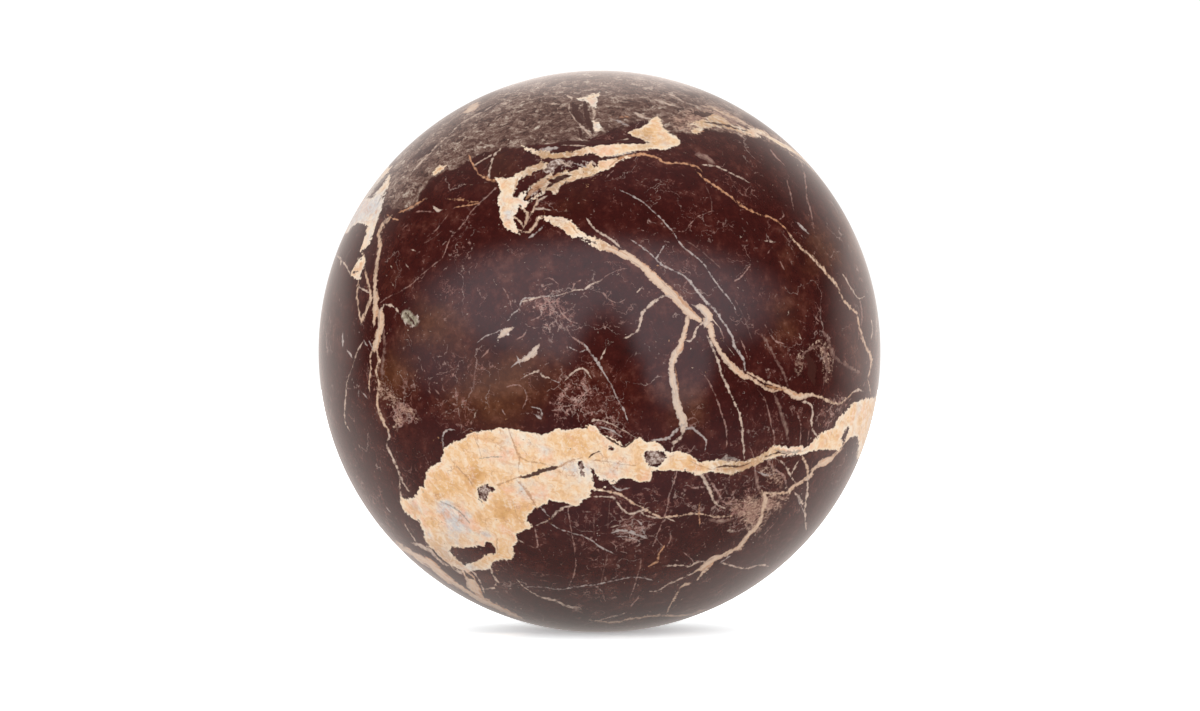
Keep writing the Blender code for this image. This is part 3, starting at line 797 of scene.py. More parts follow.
    "spark_b": (PALE, (1, 2.5, 1), [586, 330, 592, 336]),
    "arch": (SMOKE, (3, 4, 4, 3), [740, 330, 750, 318, 764, 322, 768, 338, 764, 356]),
}, "back": {
    "right_vein": (CREAM, (8, 7, 5, 6, 7, 5, 5, 4, 4, 3), [
        572, 404, 590, 412, 606, 410, 624, 420, 640, 432, 660, 436, 680, 444, 702, 440, 722, 438,
        744, 446, 766, 452, 786, 466, 806, 480, 824, 498,
    ]),
    "right_vein_low": (PALE, (3, 3, 3, 2, 2, 1.5), [
        660, 438, 668, 456, 664, 478, 674, 496, 670, 520, 680, 542,
    ]),
    "right_vein_high": (CREAM, (3, 4, 3, 2, 1.5), [702, 438, 716, 422, 734, 414, 748, 398, 768, 390]),
    "rising": (CREAM, (7, 6, 6, 5, 6, 5, 4, 4, 3, 3), [
        512, 362, 508, 344, 514, 328, 524, 312, 534, 296, 550, 282, 562, 266, 578, 252, 590, 234,
        600, 214, 606, 190, 616, 168, 618, 146, 624, 124,
    ]),
    "rising_right": (PALE, (3, 3, 2.5, 2.5, 2, 1.5), [
        562, 267, 584, 270, 606, 262, 630, 262, 654, 252, 680, 256, 706, 250, 730, 254, 756, 242,
    ]),
    "rising_left": (PALE, (3, 2.5, 2.5, 2, 1.3), [
        530, 300, 510, 294, 492, 282, 474, 278, 456, 262, 436, 256, 414, 240, 396, 236,
    ]),
    "rising_hair": (GREY, (1.3, 1.6, 1.6, 1.2), [
        546, 320, 560, 304, 576, 292, 588, 276, 604, 262, 614, 240, 628, 220,
    ]),
    "left_end": (PALE, (4, 5, 3, 2), [346, 392, 360, 380, 376, 374, 392, 378]),
    "rib_a": (PALE, (3, 2.5, 2.5, 2, 1.5), [476, 476, 482, 496, 478, 518, 486, 540, 482, 562]),
    "rib_b": (GREY, (2, 2, 1.6, 1.4), [536, 440, 544, 462, 540, 486, 550, 508, 548, 534]),
    "rib_c": (PINK, (1.3, 1.4, 1.2), [440, 446, 446, 470, 442, 494, 450, 516]),
    "rib_d": (PINK, (1.2, 1.4, 1.2), [600, 412, 606, 436, 602, 460, 612, 486, 610, 512]),
    "hair_a": (GREY, (1, 1.4, 1.8, 1.6, 1.2, 1), [
        640, 160, 652, 188, 670, 210, 684, 238, 706, 262, 716, 290, 740, 312, 752, 340, 776, 362,
    ]),
    "hair_b": (PINK, (1.2, 1.3, 1), [700, 300, 680, 316, 668, 336, 648, 350]),
    "hair_c": (GREY, (1, 1.4, 1), [420, 300, 440, 316, 452, 338, 470, 350]),
    "hair_d": (PINK, (1, 1.3, 1), [520, 560, 548, 566, 576, 560, 604, 572, 632, 566]),
    "hair_e": (PALE, (1, 1.6, 1), [800, 280, 806, 304, 800, 330, 808, 352]),
    "hair_f": (SMOKE, (1.5, 2, 1.5), [640, 500, 662, 512, 690, 508, 716, 520]),
    "crown_a": (PALE, (1.5, 2, 2, 1.5), [560, 120, 590, 140, 622, 150, 652, 168, 680, 176]),
    "crown_b": (PALE, (1.5, 4, 2), [640, 96, 654, 104, 668, 108]),
    "curl": (PALE, (1.2, 2, 1.4), [598, 338, 608, 332, 618, 338, 616, 350]),
    "spark_a": (PALE, (1, 3, 1), [652, 402, 660, 398, 668, 401]),
    "spark_b": (PALE, (1, 2.4, 1), [560, 336, 566, 330]),
}, "left": {
    "descent": (CREAM, (7, 6, 6, 5, 4, 5, 4, 3, 2), [
        506, 238, 498, 254, 488, 268, 484, 286, 474, 302, 470, 322, 474, 342, 466, 362, 464, 384,
        454, 404, 452, 426,
    ]),
    "descent_b": (PALE, (3, 3, 2, 2, 1.5), [484, 288, 468, 298, 452, 314, 440, 334, 422, 348, 410, 366]),
    "from_back": (CREAM, (4, 4, 5, 4, 5), [
        352, 448, 376, 456, 398, 468, 420, 472, 442, 482, 462, 490, 482, 500,
    ]),
    "from_back_b": (PALE, (2.5, 2.5, 2, 1.5), [420, 474, 426, 494, 442, 512, 446, 534, 458, 552]),
    "star_low": (CREAM, (3, 3, 2.5, 2, 2, 1.5), [
        612, 282, 606, 298, 610, 316, 602, 334, 604, 352, 596, 372,
    ]),
    "star_side": (PALE, (2, 2, 1.5), [604, 272, 588, 284, 580, 302, 568, 312]),
    "rib_a": (PALE, (2.5, 2.5, 2, 2, 1.5), [560, 262, 554, 286, 560, 308, 552, 334, 556, 360]),
    "rib_b": (GREY, (1.4, 1.8, 1.6, 1.2), [530, 250, 534, 280, 526, 310, 532, 340, 522, 372, 526, 402]),
    "rib_c": (PINK, (1.3, 1.4, 1.2), [640, 230, 644, 262, 638, 294, 646, 326]),
    "hair_a": (GREY, (1, 1.4, 1.6, 1.4, 1), [
        430, 250, 420, 282, 424, 312, 412, 344, 404, 376, 408, 410, 398, 440,
    ]),
    "hair_b": (PINK, (1, 1.4, 1.2), [620, 400, 612, 430, 620, 460, 612, 490, 616, 520]),
    "hair_c": (GREY, (1.2, 1.6, 1.2), [660, 420, 640, 446, 628, 474, 606, 496, 590, 520]),
    "hair_d": (PINK, (1, 1.3, 1), [500, 420, 526, 432, 548, 428, 572, 440]),
    "hair_e": (SMOKE, (1.5, 2, 1.5), [560, 580, 590, 592, 622, 596]),
    "arch": (SMOKE, (2, 3, 3, 2), [396, 300, 386, 316, 392, 336, 388, 356]),
    "crest": (PALE, (2, 3, 2), [520, 186, 532, 176, 548, 166]),
    "spark_a": (PALE, (1, 3, 1), [584, 342, 590, 336]),
    "spark_b": (PALE, (1, 2.6, 1), [470, 420, 478, 424]),
}, "top": {
    "from_back": (CREAM, (3, 4, 3, 3, 2, 1.5), [
        574, 196, 580, 216, 590, 234, 596, 256, 606, 276, 604, 300, 612, 322, 606, 346,
    ]),
    "across_a": (PALE, (1.5, 2.5, 2, 2.5, 1.5), [470, 300, 496, 312, 520, 308, 548, 318, 576, 312]),
    "across_b": (PALE, (1.5, 2, 2.5, 2, 1.5), [640, 380, 664, 372, 690, 376, 716, 364, 744, 366]),
    "across_c": (GREY, (1, 1.6, 1.6, 1), [500, 400, 530, 390, 556, 396, 586, 386, 612, 392]),
    "right_a": (PALE, (1.4, 2, 2, 1.4), [742, 300, 768, 286, 790, 262, 818, 248]),
    "right_b": (PINK, (1, 1.4, 1), [700, 250, 724, 228, 740, 200]),
    "left_a": (PINK, (1, 1.4, 1.4, 1), [440, 300, 412, 284, 396, 260, 372, 246]),
    "left_b": (GREY, (1, 1.5, 1), [470, 250, 460, 222, 470, 196]),
}}

# Brown cracks and dark slits through the calcite
CRACKS = {"front": {
    "limb_streak": (SLATE, (1, 3, 3, 2), [364, 199, 371, 191, 380, 182, 389, 174]),
    "limb_streak_b": (SLATE, (1, 1.6, 1), [377, 205, 382, 196, 387, 188]),
    "neck_seam": (RUST, (1, 1.5, 1.2, 1), [518, 177, 516, 184, 514, 191, 513, 198]),
    "band_gap": (DARK, (1, 2, 2, 1), [588, 160, 604, 158.8, 619, 156.8, 634, 153]),
    "head_seam": (RUST, (1, 1.5, 1), [572, 226, 576, 232, 583, 236]),
    "fan_seam": (RUST, (1, 1.5, 1.5, 1), [543, 184, 552, 177, 562, 174, 574, 173]),
    "patch_stripe_a": (RUST, (1, 2, 1), [609, 167, 615, 162, 622, 157]),
    "patch_stripe_b": (RUST, (1, 1.6, 1), [613, 160, 619, 158, 626, 155]),
    "main_seam": (RUST, (1, 1.5, 2, 1.5), [667, 284, 675, 292, 682, 302, 692, 311]),
    "main_seam_b": (RUST, (0.8, 1, 0.8), [606, 246, 618, 250, 628, 256]),
    "slit": (DARK, (2, 4, 5, 4, 2), [520, 477, 528, 476, 548, 469, 558, 467]),
    "slit_right": (RUST, (2, 1.5, 1.2), [558, 467, 570, 461, 582, 458]),
    "slit_left": (RUST, (2, 2, 1.5), [520, 477, 510, 480, 497, 485]),
    "crack_a": (RUST, (1.5, 2.2, 2.2, 1.5), [509, 430, 516, 450, 519, 457, 519, 473]),
    "crack_b": (RUST, (1, 1.5, 1.5), [519, 457, 527, 461, 538, 463, 550, 465]),
    "crack_c": (RUST, (2, 3, 3, 2.5, 2), [518, 481, 525, 489, 530, 496, 537, 508]),
    "crack_d": (RUST, (1, 1.2, 1), [473, 435, 479, 448, 482, 461]),
    "crack_e": (RUST, (1, 1.5, 1.2), [450, 458, 460, 470, 467, 477, 473, 487]),
    "crack_f": (SLATE, (1, 1.5, 1), [480, 459, 491, 457, 503, 457]),
    "crack_g": (RUST, (1, 1.2, 1), [592, 460, 610, 462, 628, 465, 635, 466]),
    "crack_h": (DARK, (1, 1.8, 1.2), [590, 467, 594, 472, 597, 479, 600, 484]),
    "crack_i": (DARK, (1, 1.5, 1), [589, 458, 593, 454, 600, 451]),
    "stain_line": (RUST, (1, 2, 1), [497, 538, 497, 545, 497, 552]),
    "notch": (DARK, (1.5, 2.5, 2.5, 2), [606, 437, 614, 442, 624, 447, 633, 441]),
    "grey_a": (SLATE, (2, 4, 3, 1), [718, 460, 726, 458, 733, 458, 740, 461]),
    "grey_b": (SLATE, (1.5, 3, 3, 2), [775, 450, 783, 452, 792, 452, 802, 451]),
    "main_slit": (DARK, (1, 1.8, 1), [576, 238, 587, 240, 597, 244]),
    "main_crack": (RUST, (1, 2, 2, 1.5), [672, 287, 680, 299, 688, 306, 697, 316]),
    "knot_eye": (DARK, (2, 4, 2), [697, 314, 701, 316, 704, 317]),
    "post_line": (RUST, (1, 1.3, 1.3, 1), [674, 360, 676, 372, 678, 385, 679, 400]),
    "foot_lens": (RUST, (1, 3, 3, 1), [765, 385, 772, 387, 779, 389, 786, 390]),
    "band_slit": (DARK, (1.5, 2, 2, 1.5), [608, 141, 622, 141, 636, 141, 649, 143]),
    "band_slit_low": (DARK, (1, 1.5, 1), [580, 157, 588, 156, 596, 154]),
    "neck_lens": (DARK, (2, 4.5, 5, 2), [547, 188, 554, 182, 562, 177, 571, 175]),
    "neck_lens_low": (RUST, (2, 5, 5, 2), [526, 198, 531, 192, 538, 187, 545, 185]),
    "crown_drop": (DARK, (6, 9, 8, 4), [574, 106, 577, 113, 580, 119, 583, 122]),
    "crown_column": (DARK, (4, 6, 6, 5, 3), [585, 104, 588, 120, 591, 127, 592, 132]),
    "crown_bit": (DARK, (2, 4, 2), [579, 129, 581, 133, 581, 137]),
    "crown_dark": (DARK, (2, 6, 6, 3), [692, 113, 698, 114, 704, 115, 711, 114]),
    "band_above": (DARK, (3, 4, 4, 3), [560, 143, 576, 143, 592, 142, 608, 142]),
    "limb_crack": (DARK, (1.5, 2, 2, 1.5), [432, 549, 438, 556, 444, 562, 450, 566]),
    "limb_hole_a": (DARK, (4, 8, 8, 4), [443, 569, 449, 571, 457, 577, 462, 579]),
    "limb_hole_b": (DARK, (3, 5, 4), [466, 573, 469, 576, 472, 578]),
    "limb_slit": (DARK, (1, 1.8, 1.5), [460, 581, 467, 588, 475, 594]),
    "star_eye": (DARK, (2, 3, 2), [354, 273, 357, 272]),
    "ladder_lens": (DARK, (2, 4, 2), [373, 352, 374, 358, 375, 364]),
    "green_slot": (DARK, (1.5, 2.5, 2), [406, 313, 410, 318, 414, 324]),
    "limb_pocket": (DARK, (5, 10, 8), [808, 356, 811, 366, 813, 378]),
    "arm_slit": (DARK, (1, 2.2, 2, 1), [714, 468, 726, 466, 738, 467, 750, 463]),
    "arm_slit_b": (DARK, (1, 2, 1), [765, 457, 776, 453, 788, 454]),
    "arm_seam": (RUST, (1, 1.5, 1.5, 1), [690, 461, 706, 468, 724, 470, 744, 466]),
    "streak_seam": (DARK, (1, 2.5, 2.5, 1), [704, 122, 718, 124, 732, 127, 748, 131]),
    "quartz_rim": (SLATE, (1, 1.5, 1), [440, 501, 452, 507, 464, 516, 470, 524]),
}, "right": {
    "seam_a": (RUST, (1.5, 2, 1.5, 1), [576, 404, 592, 414, 600, 430, 604, 450]),
    "seam_b": (RUST, (1, 2, 1.5, 1), [690, 410, 708, 416, 724, 412, 742, 414]),
    "seam_c": (SLATE, (1, 1.6, 1), [618, 404, 634, 408, 650, 402]),
    "seam_d": (DARK, (1, 2, 1), [760, 402, 776, 400, 794, 405]),
}, "back": {
    "seam_a": (RUST, (1, 2.5, 2, 1), [520, 370, 512, 388, 514, 404, 504, 424, 500, 446]),
    "seam_b": (RUST, (1, 2, 1.5, 1), [396, 404, 414, 400, 432, 404]),
    "seam_c": (SLATE, (1, 1.6, 1), [450, 380, 462, 392, 458, 408]),
    "seam_d": (DARK, (1, 2, 1), [540, 392, 552, 398, 564, 396]),
}, "left": {
    "seam_a": (RUST, (1, 2, 1.5, 1), [612, 170, 604, 188, 606, 206, 596, 224]),
    "seam_b": (SLATE, (1, 2.5, 2, 1), [650, 172, 640, 190, 644, 208, 634, 220]),
    "seam_c": (RUST, (1, 1.6, 1), [540, 196, 548, 212, 542, 232]),
    "seam_d": (RUST, (1, 1.6, 1), [520, 518, 548, 526, 580, 542]),
}}

# Where the calcite is stained: (x, y, radius, amount), amber above zero and grey-white below
STAINS = {"front": {
    "amber_a": (476, 476, 13, 1.1),
    "amber_b": (504, 512, 14, 1.2),
    "amber_c": (440, 491, 10, 0.8),
    "amber_d": (478, 522, 10, 0.8),
    "amber_e": (694, 464, 7, 0.9),
    "amber_f": (432, 520, 8, 0.7),
    "quartz_a": (447, 507, 8, -1.6),
    "quartz_b": (460, 519, 9, -1.8),
    "quartz_c": (486, 536, 7, -1.2),
    "quartz_d": (585, 468, 9, -1.0),
    "quartz_e": (508, 214, 7, -0.9),
    "quartz_f": (380, 200, 12, -0.7),
    "quartz_g": (506, 333, 10, -1.2),
    "quartz_h": (532, 353, 12, -0.8),
    "quartz_i": (410, 319, 14, -2.2),
    "quartz_j": (592, 112, 22, -1.2),
    "rose_a": (400, 410, 22, -1.5),
    "band_amber": (566, 154, 18, 1.0),
    "triangle_amber": (652, 132, 8, 0.7),
    "crown_amber": (440, 168, 10, 1.0),
    "wedge": (860, 425, 18, -0.25),
    "left_limb": (362, 208, 26, -1.0),
    "fan": (545, 184, 20, -0.9),
    "rim_band": (440, 575, 44, -1.0),
}, "right": {
    "amber_a": (640, 444, 14, 0.9),
    "amber_b": (704, 412, 12, 1.0),
    "quartz_a": (600, 446, 10, -1.3),
    "quartz_b": (672, 400, 10, -1.0),
    "quartz_c": (786, 402, 12, -0.8),
}, "back": {
    "amber_a": (480, 380, 16, 1.0),
    "amber_b": (540, 416, 12, 0.9),
    "quartz_a": (498, 436, 12, -1.6),
    "quartz_b": (416, 406, 10, -1.0),
    "rose": (452, 444, 14, -0.5),
}, "left": {
    "limb": (640, 196, 34, -1.0),
    "quartz_a": (560, 190, 14, -1.2),
    "amber_a": (530, 228, 12, 0.8),
    "amber_b": (588, 238, 10, 0.6),
}}

# Where the calcite is darker and tan: (x, y, radius, amount)
TAN = {"front": {
    "band_left": (556, 155, 20, 1.5),
    "band_middle": (585, 153, 16, 0.35),
    "triangle": (643, 139, 14, 0.7),
    "neck_arm": (530, 170, 16, 0.55),
    "arm": (748, 464, 36, 1.15),
    "streaks": (722, 124, 40, 0.95),
    "fan": (548, 184, 22, 1.1),
    "fan_right": (590, 174, 16, 0.6),
    "head": (558, 221, 15, 0.6),
    "main_start": (603, 246, 11, 0.8),
    "rim_band": (440, 575, 44, 0.8),
    "star": (358, 270, 16, 0.4),
}, "right": {
    "streak": (600, 160, 60, 0.5),
    "band_end": (800, 404, 36, 0.5),
}, "back": {
    "left_end": (380, 402, 30, 0.5),
}, "left": {
    "low_band": (600, 548, 90, 0.4),
    "patch": (510, 226, 18, 0.5),
}}

# Greenish nodules: (x, y, radius, amount)
OLIVE = {"front": {
    "core": (407, 316, 6.5, 0.9),
    "end": (415, 322, 6, 0.7),
}, "left": {
    "core": (440, 378, 9, 0.9),
}}

# Where pale hairlines crowd the ground: (x, y, radius, amount)
CRACKLE = {"front": {
    "middle": (574, 398, 34, 1.3),
    "middle_right": (612, 398, 22, 0.3),
    "upper_left": (460, 255, 24, 0.7),
    "upper_middle": (545, 308, 30, 1.2),
    "left": (440, 370, 34, 0.5),
    "above_patch": (462, 408, 26, 0.8),
    "upper_right": (710, 225, 34, 0.3),
    "upper_limb": (655, 215, 50, 0.35),
    "below_wedge": (748, 508, 32, 1.0),
    "below_patch": (640, 515, 40, 0.5),
    "below_right": (700, 500, 34, 0.6),
    "low": (600, 575, 60, 0.45),
    "cluster": (630, 531, 14, 0.9),
    "patch_top": (612, 430, 16, 1.3),
    "centre": (590, 328, 24, 0.4),
    "right": (788, 362, 24, 0.6),
    "right_low": (765, 425, 36, 0.5),
    "left_limb": (395, 400, 26, 0.6),
}, "right": {
    "upper": (664, 300, 46, 0.9),
    "low": (738, 500, 44, 0.8),
    "bottom": (600, 530, 56, 0.6),
    "behind": (816, 330, 40, 0.7),
    "front": (546, 330, 30, 0.6),
}, "back": {
    "middle": (690, 340, 56, 0.9),
    "upper_left": (476, 240, 40, 0.7),
    "low": (600, 530, 60, 0.7),
    "low_left": (404, 480, 40, 0.7),
    "right": (800, 400, 40, 0.6),
}, "left": {
    "middle": (480, 440, 48, 0.8),
    "centre": (620, 340, 46, 0.7),
    "behind": (414, 250, 40, 0.6),
    "low": (650, 480, 50, 0.6),
}, "top": {
    "behind_right": (710, 200, 46, 0.6),
    "behind_left": (470, 190, 46, 0.6),
    "right": (790, 380, 40, 0.5),
}}

# Where the dark red ground turns to warm brown: (x, y, radius, amount)
BROWN = {"front": {
    "middle": (500, 385, 52, 1.0),
    "left": (425, 325, 30, 0.7),
    "left_limb": (392, 372, 24, 0.8),
    "right_limb": (820, 255, 36, 0.7),
    "right": (780, 325, 24, 0.45),
    "post": (692, 415, 26, 0.5),
    "neck": (575, 195, 30, 0.5),
    "band": (500, 165, 24, 0.5),
}, "right": {
    "upper": (720, 320, 56, 0.9),
    "front": (560, 250, 40, 0.7),
    "low": (580, 520, 50, 0.5),
}, "back": {
    "middle": (650, 330, 64, 0.9),
    "left": (430, 310, 46, 0.7),
    "low": (520, 520, 50, 0.6),
}, "left": {
    "middle": (560, 420, 56, 0.9),
    "behind": (450, 280, 46, 0.7),
    "low": (450, 540, 40, 0.5),
}, "top": {
    "right": (770, 260, 50, 0.6),
    "left": (420, 210, 50, 0.6),
}}


def place_on_disc(side, directions):
    """Where each unit direction shows on that side's disc, in pixels, and how it faces the viewer.

    A point n of the unit ball, seen by a viewer at D radii, lies at n.right / (D - n.toward) across and
    n.up / (D - n.toward) up, and the disc's rim is at 1 / sqrt(D^2 - 1). It shows where n.toward > 1 / D.
    """
    toward, right, up = SIDES[side]
    distance = CAMERA_DISTANCE / BALL_RADIUS
    depth = distance - directions @ toward
    scale = DISC_RADIUS * math.sqrt(distance**2 - 1) / depth
    pixels = np.stack([DISC_X + directions @ right * scale, DISC_Y - directions @ up * scale], axis=1)
    return pixels, directions @ toward - 1 / distance


def vertices_near(pixels, facing, points):
    """The vertices that face the viewer and lie within VEIN_REACH of the box round the points."""
    low, high = np.min(points, axis=0) - VEIN_REACH, np.max(points, axis=0) + VEIN_REACH
    return np.flatnonzero((facing > PAST_RIM) & ((pixels > low) & (pixels < high)).all(axis=1))


def smooth_route(points, widths, step=ROUTE_STEP):
    """A Catmull-Rom curve through the points: the cubic that meets each point with slope (next - last) / 2.

    The widths are spread evenly along the points. Both are sampled about every step pixels.
    """
    points = np.reshape(points, (-1, 2)).astype(float)
    ends = np.concatenate([[2 * points[0] - points[1]], points, [2 * points[-1] - points[-2]]])
    counts = np.maximum(2, np.ceil(np.linalg.norm(np.diff(points, axis=0), axis=1) / step)).astype(int)
    spans = np.repeat(np.arange(len(counts)), counts)
    starts = np.repeat(np.cumsum(counts) - counts, counts)
    t = ((np.arange(len(spans)) - starts) / np.repeat(counts, counts))[:, None]
    a, b, c, d = (ends[spans + k] for k in range(4))
    curve = 0.5 * (2 * b + (c - a) * t + (2 * a - 5 * b + 4 * c - d) * t**2 + (3 * b - a - 3 * c + d) * t**3)
    curve = np.concatenate([curve, points[-1:]])
    along = np.concatenate([(spans + t[:, 0]), [len(points) - 1.0]]) / (len(points) - 1)
    return curve, np.interp(along, np.linspace(0, 1, len(widths)), widths)


def offset_from_route(pixels, route, widths):
    """For each pixel its signed offset from the route and the half-width there.

    Past an end, the offset is taken from the end's own line carried on, and the half-width falls by half a
    pixel for each pixel past it, so that the vein comes to a point.
    """
    start, run = route[:-1], np.diff(route, axis=0)
    length = np.linalg.norm(run, axis=1)
    gap = pixels[:, None, :] - start[None]
    free = (gap * run).sum(axis=2) / length**2
    held = np.clip(free, 0, 1)
    distance = np.linalg.norm(gap - held[..., None] * run, axis=2)
    nearest = distance.argmin(axis=1)
    rows = np.arange(len(pixels))
    cross = run[nearest, 0] * gap[rows, nearest, 1] - run[nearest, 1] * gap[rows, nearest, 0]
    distance, free, held = distance[rows, nearest], free[rows, nearest], held[rows, nearest]
    before = (nearest == 0) & (free < 0)
    after = (nearest == len(run) - 1) & (free > 1)
    past = np.where(before, -free, np.where(after, free - 1, 0)) * length[nearest]
    offset = np.where(before | after, cross / length[nearest], np.copysign(distance, cross))
    half = (widths[nearest] * (1 - held) + widths[nearest + 1] * held) / 2
    return offset, half - past / 2


def share_layers(routes):
    """Gives each route the first layer in which every other route of its side keeps LAYER_GAP away."""
    layers = []
    for route in routes:
        for layer in layers:
            others = [other.curve[None] for other in layer if other.side == route.side]
            gaps = (np.linalg.norm(route.curve[:, None] - other, axis=2).min() for other in others)
            if all(gap > LAYER_GAP for gap in gaps):
                layer.append(route)
                break
        else:
            layers.append([route])
    return layers


def vein_fields(seen, veins):
    """One field for each layer of veins: at each vertex the offset and half-width in mm, and the tone.

    Beyond a few pixels from its edge a vein's half-width falls away, so that between two veins of a layer,
    where the offset changes sign, nothing shows.
    """
    routes = [
        Route(side, tone, *smooth_route(points, widths))
        for side, drawn in veins.items()
        for tone, widths, points in drawn.values()
    ]
    fields = []
    for layer in share_layers(routes):
        count = len(seen["front"][0])
        field = np.tile([FAR, -FAR, 0.0], (count, 1))
        nearness = np.full(count, np.inf)
        for side, tone, curve, widths in layer:
            pixels, facing = seen[side]
            index = vertices_near(pixels, facing, curve)
            offset, half = offset_from_route(pixels[index], curve, widths)
            outside = np.abs(offset) - half
            closer = outside < nearness[index]
            index, offset, half, outside = index[closer], offset[closer], half[closer], outside[closer]
            nearness[index] = outside
            half = half - FADE_SLOPE * np.maximum(0, outside - FADE_START)
            field[index, 0] = offset / PIXELS_PER_MM
            field[index, 1] = np.maximum(half / PIXELS_PER_MM, -FAR)
            field[index, 2] = tone
        fields.append(field)
    return fields


def depth_in_outline(pixels, outline):
    """How deep each pixel lies in a closed outline: its distance to the nearest edge, negative outside."""
    run = np.roll(outline, -1, axis=0) - outline
    gap = pixels[:, None, :] - outline[None]
    t = np.clip((gap * run).sum(axis=2) / (run**2).sum(axis=1), 0, 1)
    distance = np.linalg.norm(gap - t[..., None] * run, axis=2).min(axis=1)
    y, next_y = outline[:, 1], outline[:, 1] + run[:, 1]
    straddles = (y[None] > pixels[:, 1:]) != (next_y[None] > pixels[:, 1:])
    with np.errstate(divide="ignore", invalid="ignore"):
        crossing = outline[:, 0] + run[:, 0] * (pixels[:, 1:] - y[None]) / run[:, 1]
    inside = (straddles & (pixels[:, :1] < crossing)).sum(axis=1) % 2 == 1
    return np.where(inside, distance, -distance)


def outline_field(seen, outlines):
    """The depth in mm within any of the outlines, negative outside them all, no more than FAR either way."""
    field = np.full(len(seen["front"][0]), -FAR)
    for side, drawn in outlines.items():
        pixels, facing = seen[side]
        for outline in drawn.values():
            outline = np.reshape(outline, (-1, 2)).astype(float)
            index = vertices_near(pixels, facing, outline)
            for part in np.array_split(index, max(1, len(index) // BATCH)):
                depth = depth_in_outline(pixels[part], outline) / PIXELS_PER_MM
                field[part] = np.maximum(field[part], np.minimum(depth, FAR))
    return field


def spot_field(seen, spots):
    """A sum of soft spots: amount * exp(-(distance / radius)^2), the distance measured on the disc.

    Behind the disc's rim a spot fades to nothing.
    """
    total = np.zeros(len(seen["front"][0]))
    for side, drawn in spots.items():
        pixels, facing = seen[side]
        for x, y, radius, amount in drawn.values():
            distance = np.hypot(pixels[:, 0] - x, pixels[:, 1] - y)
            total += amount * np.exp(-((distance / radius) ** 2)) * np.clip(1 + facing / SPOT_FADE, 0, 1)
    return total


def ball_skin():
    """The polished surface: p(turn, tilt) = centre + R (sin tilt cos turn, sin tilt sin turn, cos tilt).

    The tilt runs from the pole to the rim of the ground flat, where sin tilt = flat radius / R, and a level
    disc closes it. The meridians' spacing goes with 1 / (1 + crowding * cos(angle from the front)).
    """
    even = np.linspace(-np.pi, np.pi, TURN_SAMPLES)
    crowd = np.concatenate([[0], np.cumsum(1 + FRONT_CROWDING * np.cos((even[1:] + even[:-1]) / 2))])
    turn = np.interp(np.arange(MERIDIANS) / MERIDIANS, crowd / crowd[-1], even) - np.pi / 2
    last_tilt = np.pi - math.asin(FLAT_RADIUS / BALL_RADIUS)
    tilt = np.linspace(0, last_tilt, RINGS)[1:]
    tilt, turn = np.meshgrid(tilt, turn, indexing="ij")
    grid = np.stack([np.sin(tilt) * np.cos(turn), np.sin(tilt) * np.sin(turn), np.cos(tilt)], axis=2)
    directions = np.concatenate([[[0, 0, 1]], grid.reshape(-1, 3), [[0, 0, math.cos(last_tilt)]]])
    points = BALL_CENTRE + BALL_RADIUS * directions

    first = 1 + np.arange(len(grid))[:, None] * MERIDIANS + np.arange(MERIDIANS)[None]
    beside = np.roll(first, -1, axis=1)
    walls = np.stack([first[:-1], first[1:], beside[1:], beside[:-1]], axis=2).reshape(-1, 4)
    crown = np.stack([np.zeros(MERIDIANS, int), first[0], beside[0]], axis=1)
    base = np.stack([np.full(MERIDIANS, len(points) - 1), beside[-1], first[-1]], axis=1)
    mesh = bpy.data.meshes.new("polished_ball")
    mesh.from_pydata(points.tolist(), [], crown.tolist() + walls.tolist() + base.tolist())
    mesh.shade_smooth()
    mesh.set_sharp_from_angle(angle=SHARP_ANGLE)
    return mesh, directions / np.linalg.norm(directions, axis=1)[:, None]


def keep_field(mesh, name, values):
    """Stores one value, or three, for each vertex."""
    kind, key = ("FLOAT", "value") if values.ndim == 1 else ("FLOAT_VECTOR", "vector")
    attribute = mesh.attributes.new(name, kind, "POINT")
    attribute.data.foreach_set(key, values.astype(np.float32).ravel())


def linear(hex_colour):
    """An sRGB hex colour as linear light."""
    levels = np.array([int(hex_colour[k : k + 2], 16) for k in (1, 3, 5)]) / 255
    light = np.where(levels <= 0.04045, levels / 12.92, ((levels + 0.055) / 1.055) ** 2.4)
    return (*light.tolist(), 1.0)


def add(tree, kind, inputs=(), output=0, stops=(), **settings):
    """Adds a node with its settings, sets or links its inputs, and gives one of its outputs, if it has any.

    The stops are a colour ramp's places and hex colours.
    """
    made = tree.nodes.new(kind)
    for name, value in settings.items():
        setattr(made, name, value)
    for key, value in dict(inputs).items():
        if isinstance(value, bpy.types.NodeSocket):
            tree.links.new(value, made.inputs[key])
        else:
            made.inputs[key].default_value = value
    for _ in stops[2:]:
        made.color_ramp.elements.new(0.5)
    for k, (position, colour) in enumerate(stops):
        made.color_ramp.elements[k].position = position
        made.color_ramp.elements[k].color = linear(colour)
    return made.outputs[output] if made.outputs else None


def weigh(tree, *parts):
    """The sum of the parts, each a value, or a value and its weight. A name stands for the ball's field."""
    total = 0.0
    for part in parts:
        value, weight = part if isinstance(part, tuple) else (part, 1.0)
        if isinstance(value, str):
            value = add(tree, "ShaderNodeAttribute", output="Fac", attribute_name=value)
        if total == 0.0 and weight == 1.0:
            total = value
        else:
            total = add(tree, "ShaderNodeMath", {0: value, 1: weight, 2: total}, operation="MULTIPLY_ADD")
    return total


def rise(tree, low, high, *parts):
    """0 where the sum of the parts is at low, 1 where it is at high, smooth between; it may also fall."""
    inputs = {"Value": weigh(tree, *parts), "From Min": low, "From Max": high}
    return add(tree, "ShaderNodeMapRange", inputs, interpolation_type="SMOOTHSTEP")


def shade(tree, stops, *parts):
    """The colours of the stops, run together, at the sum of the parts."""
    return add(tree, "ShaderNodeValToRGB", {"Fac": weigh(tree, *parts)}, stops=stops)


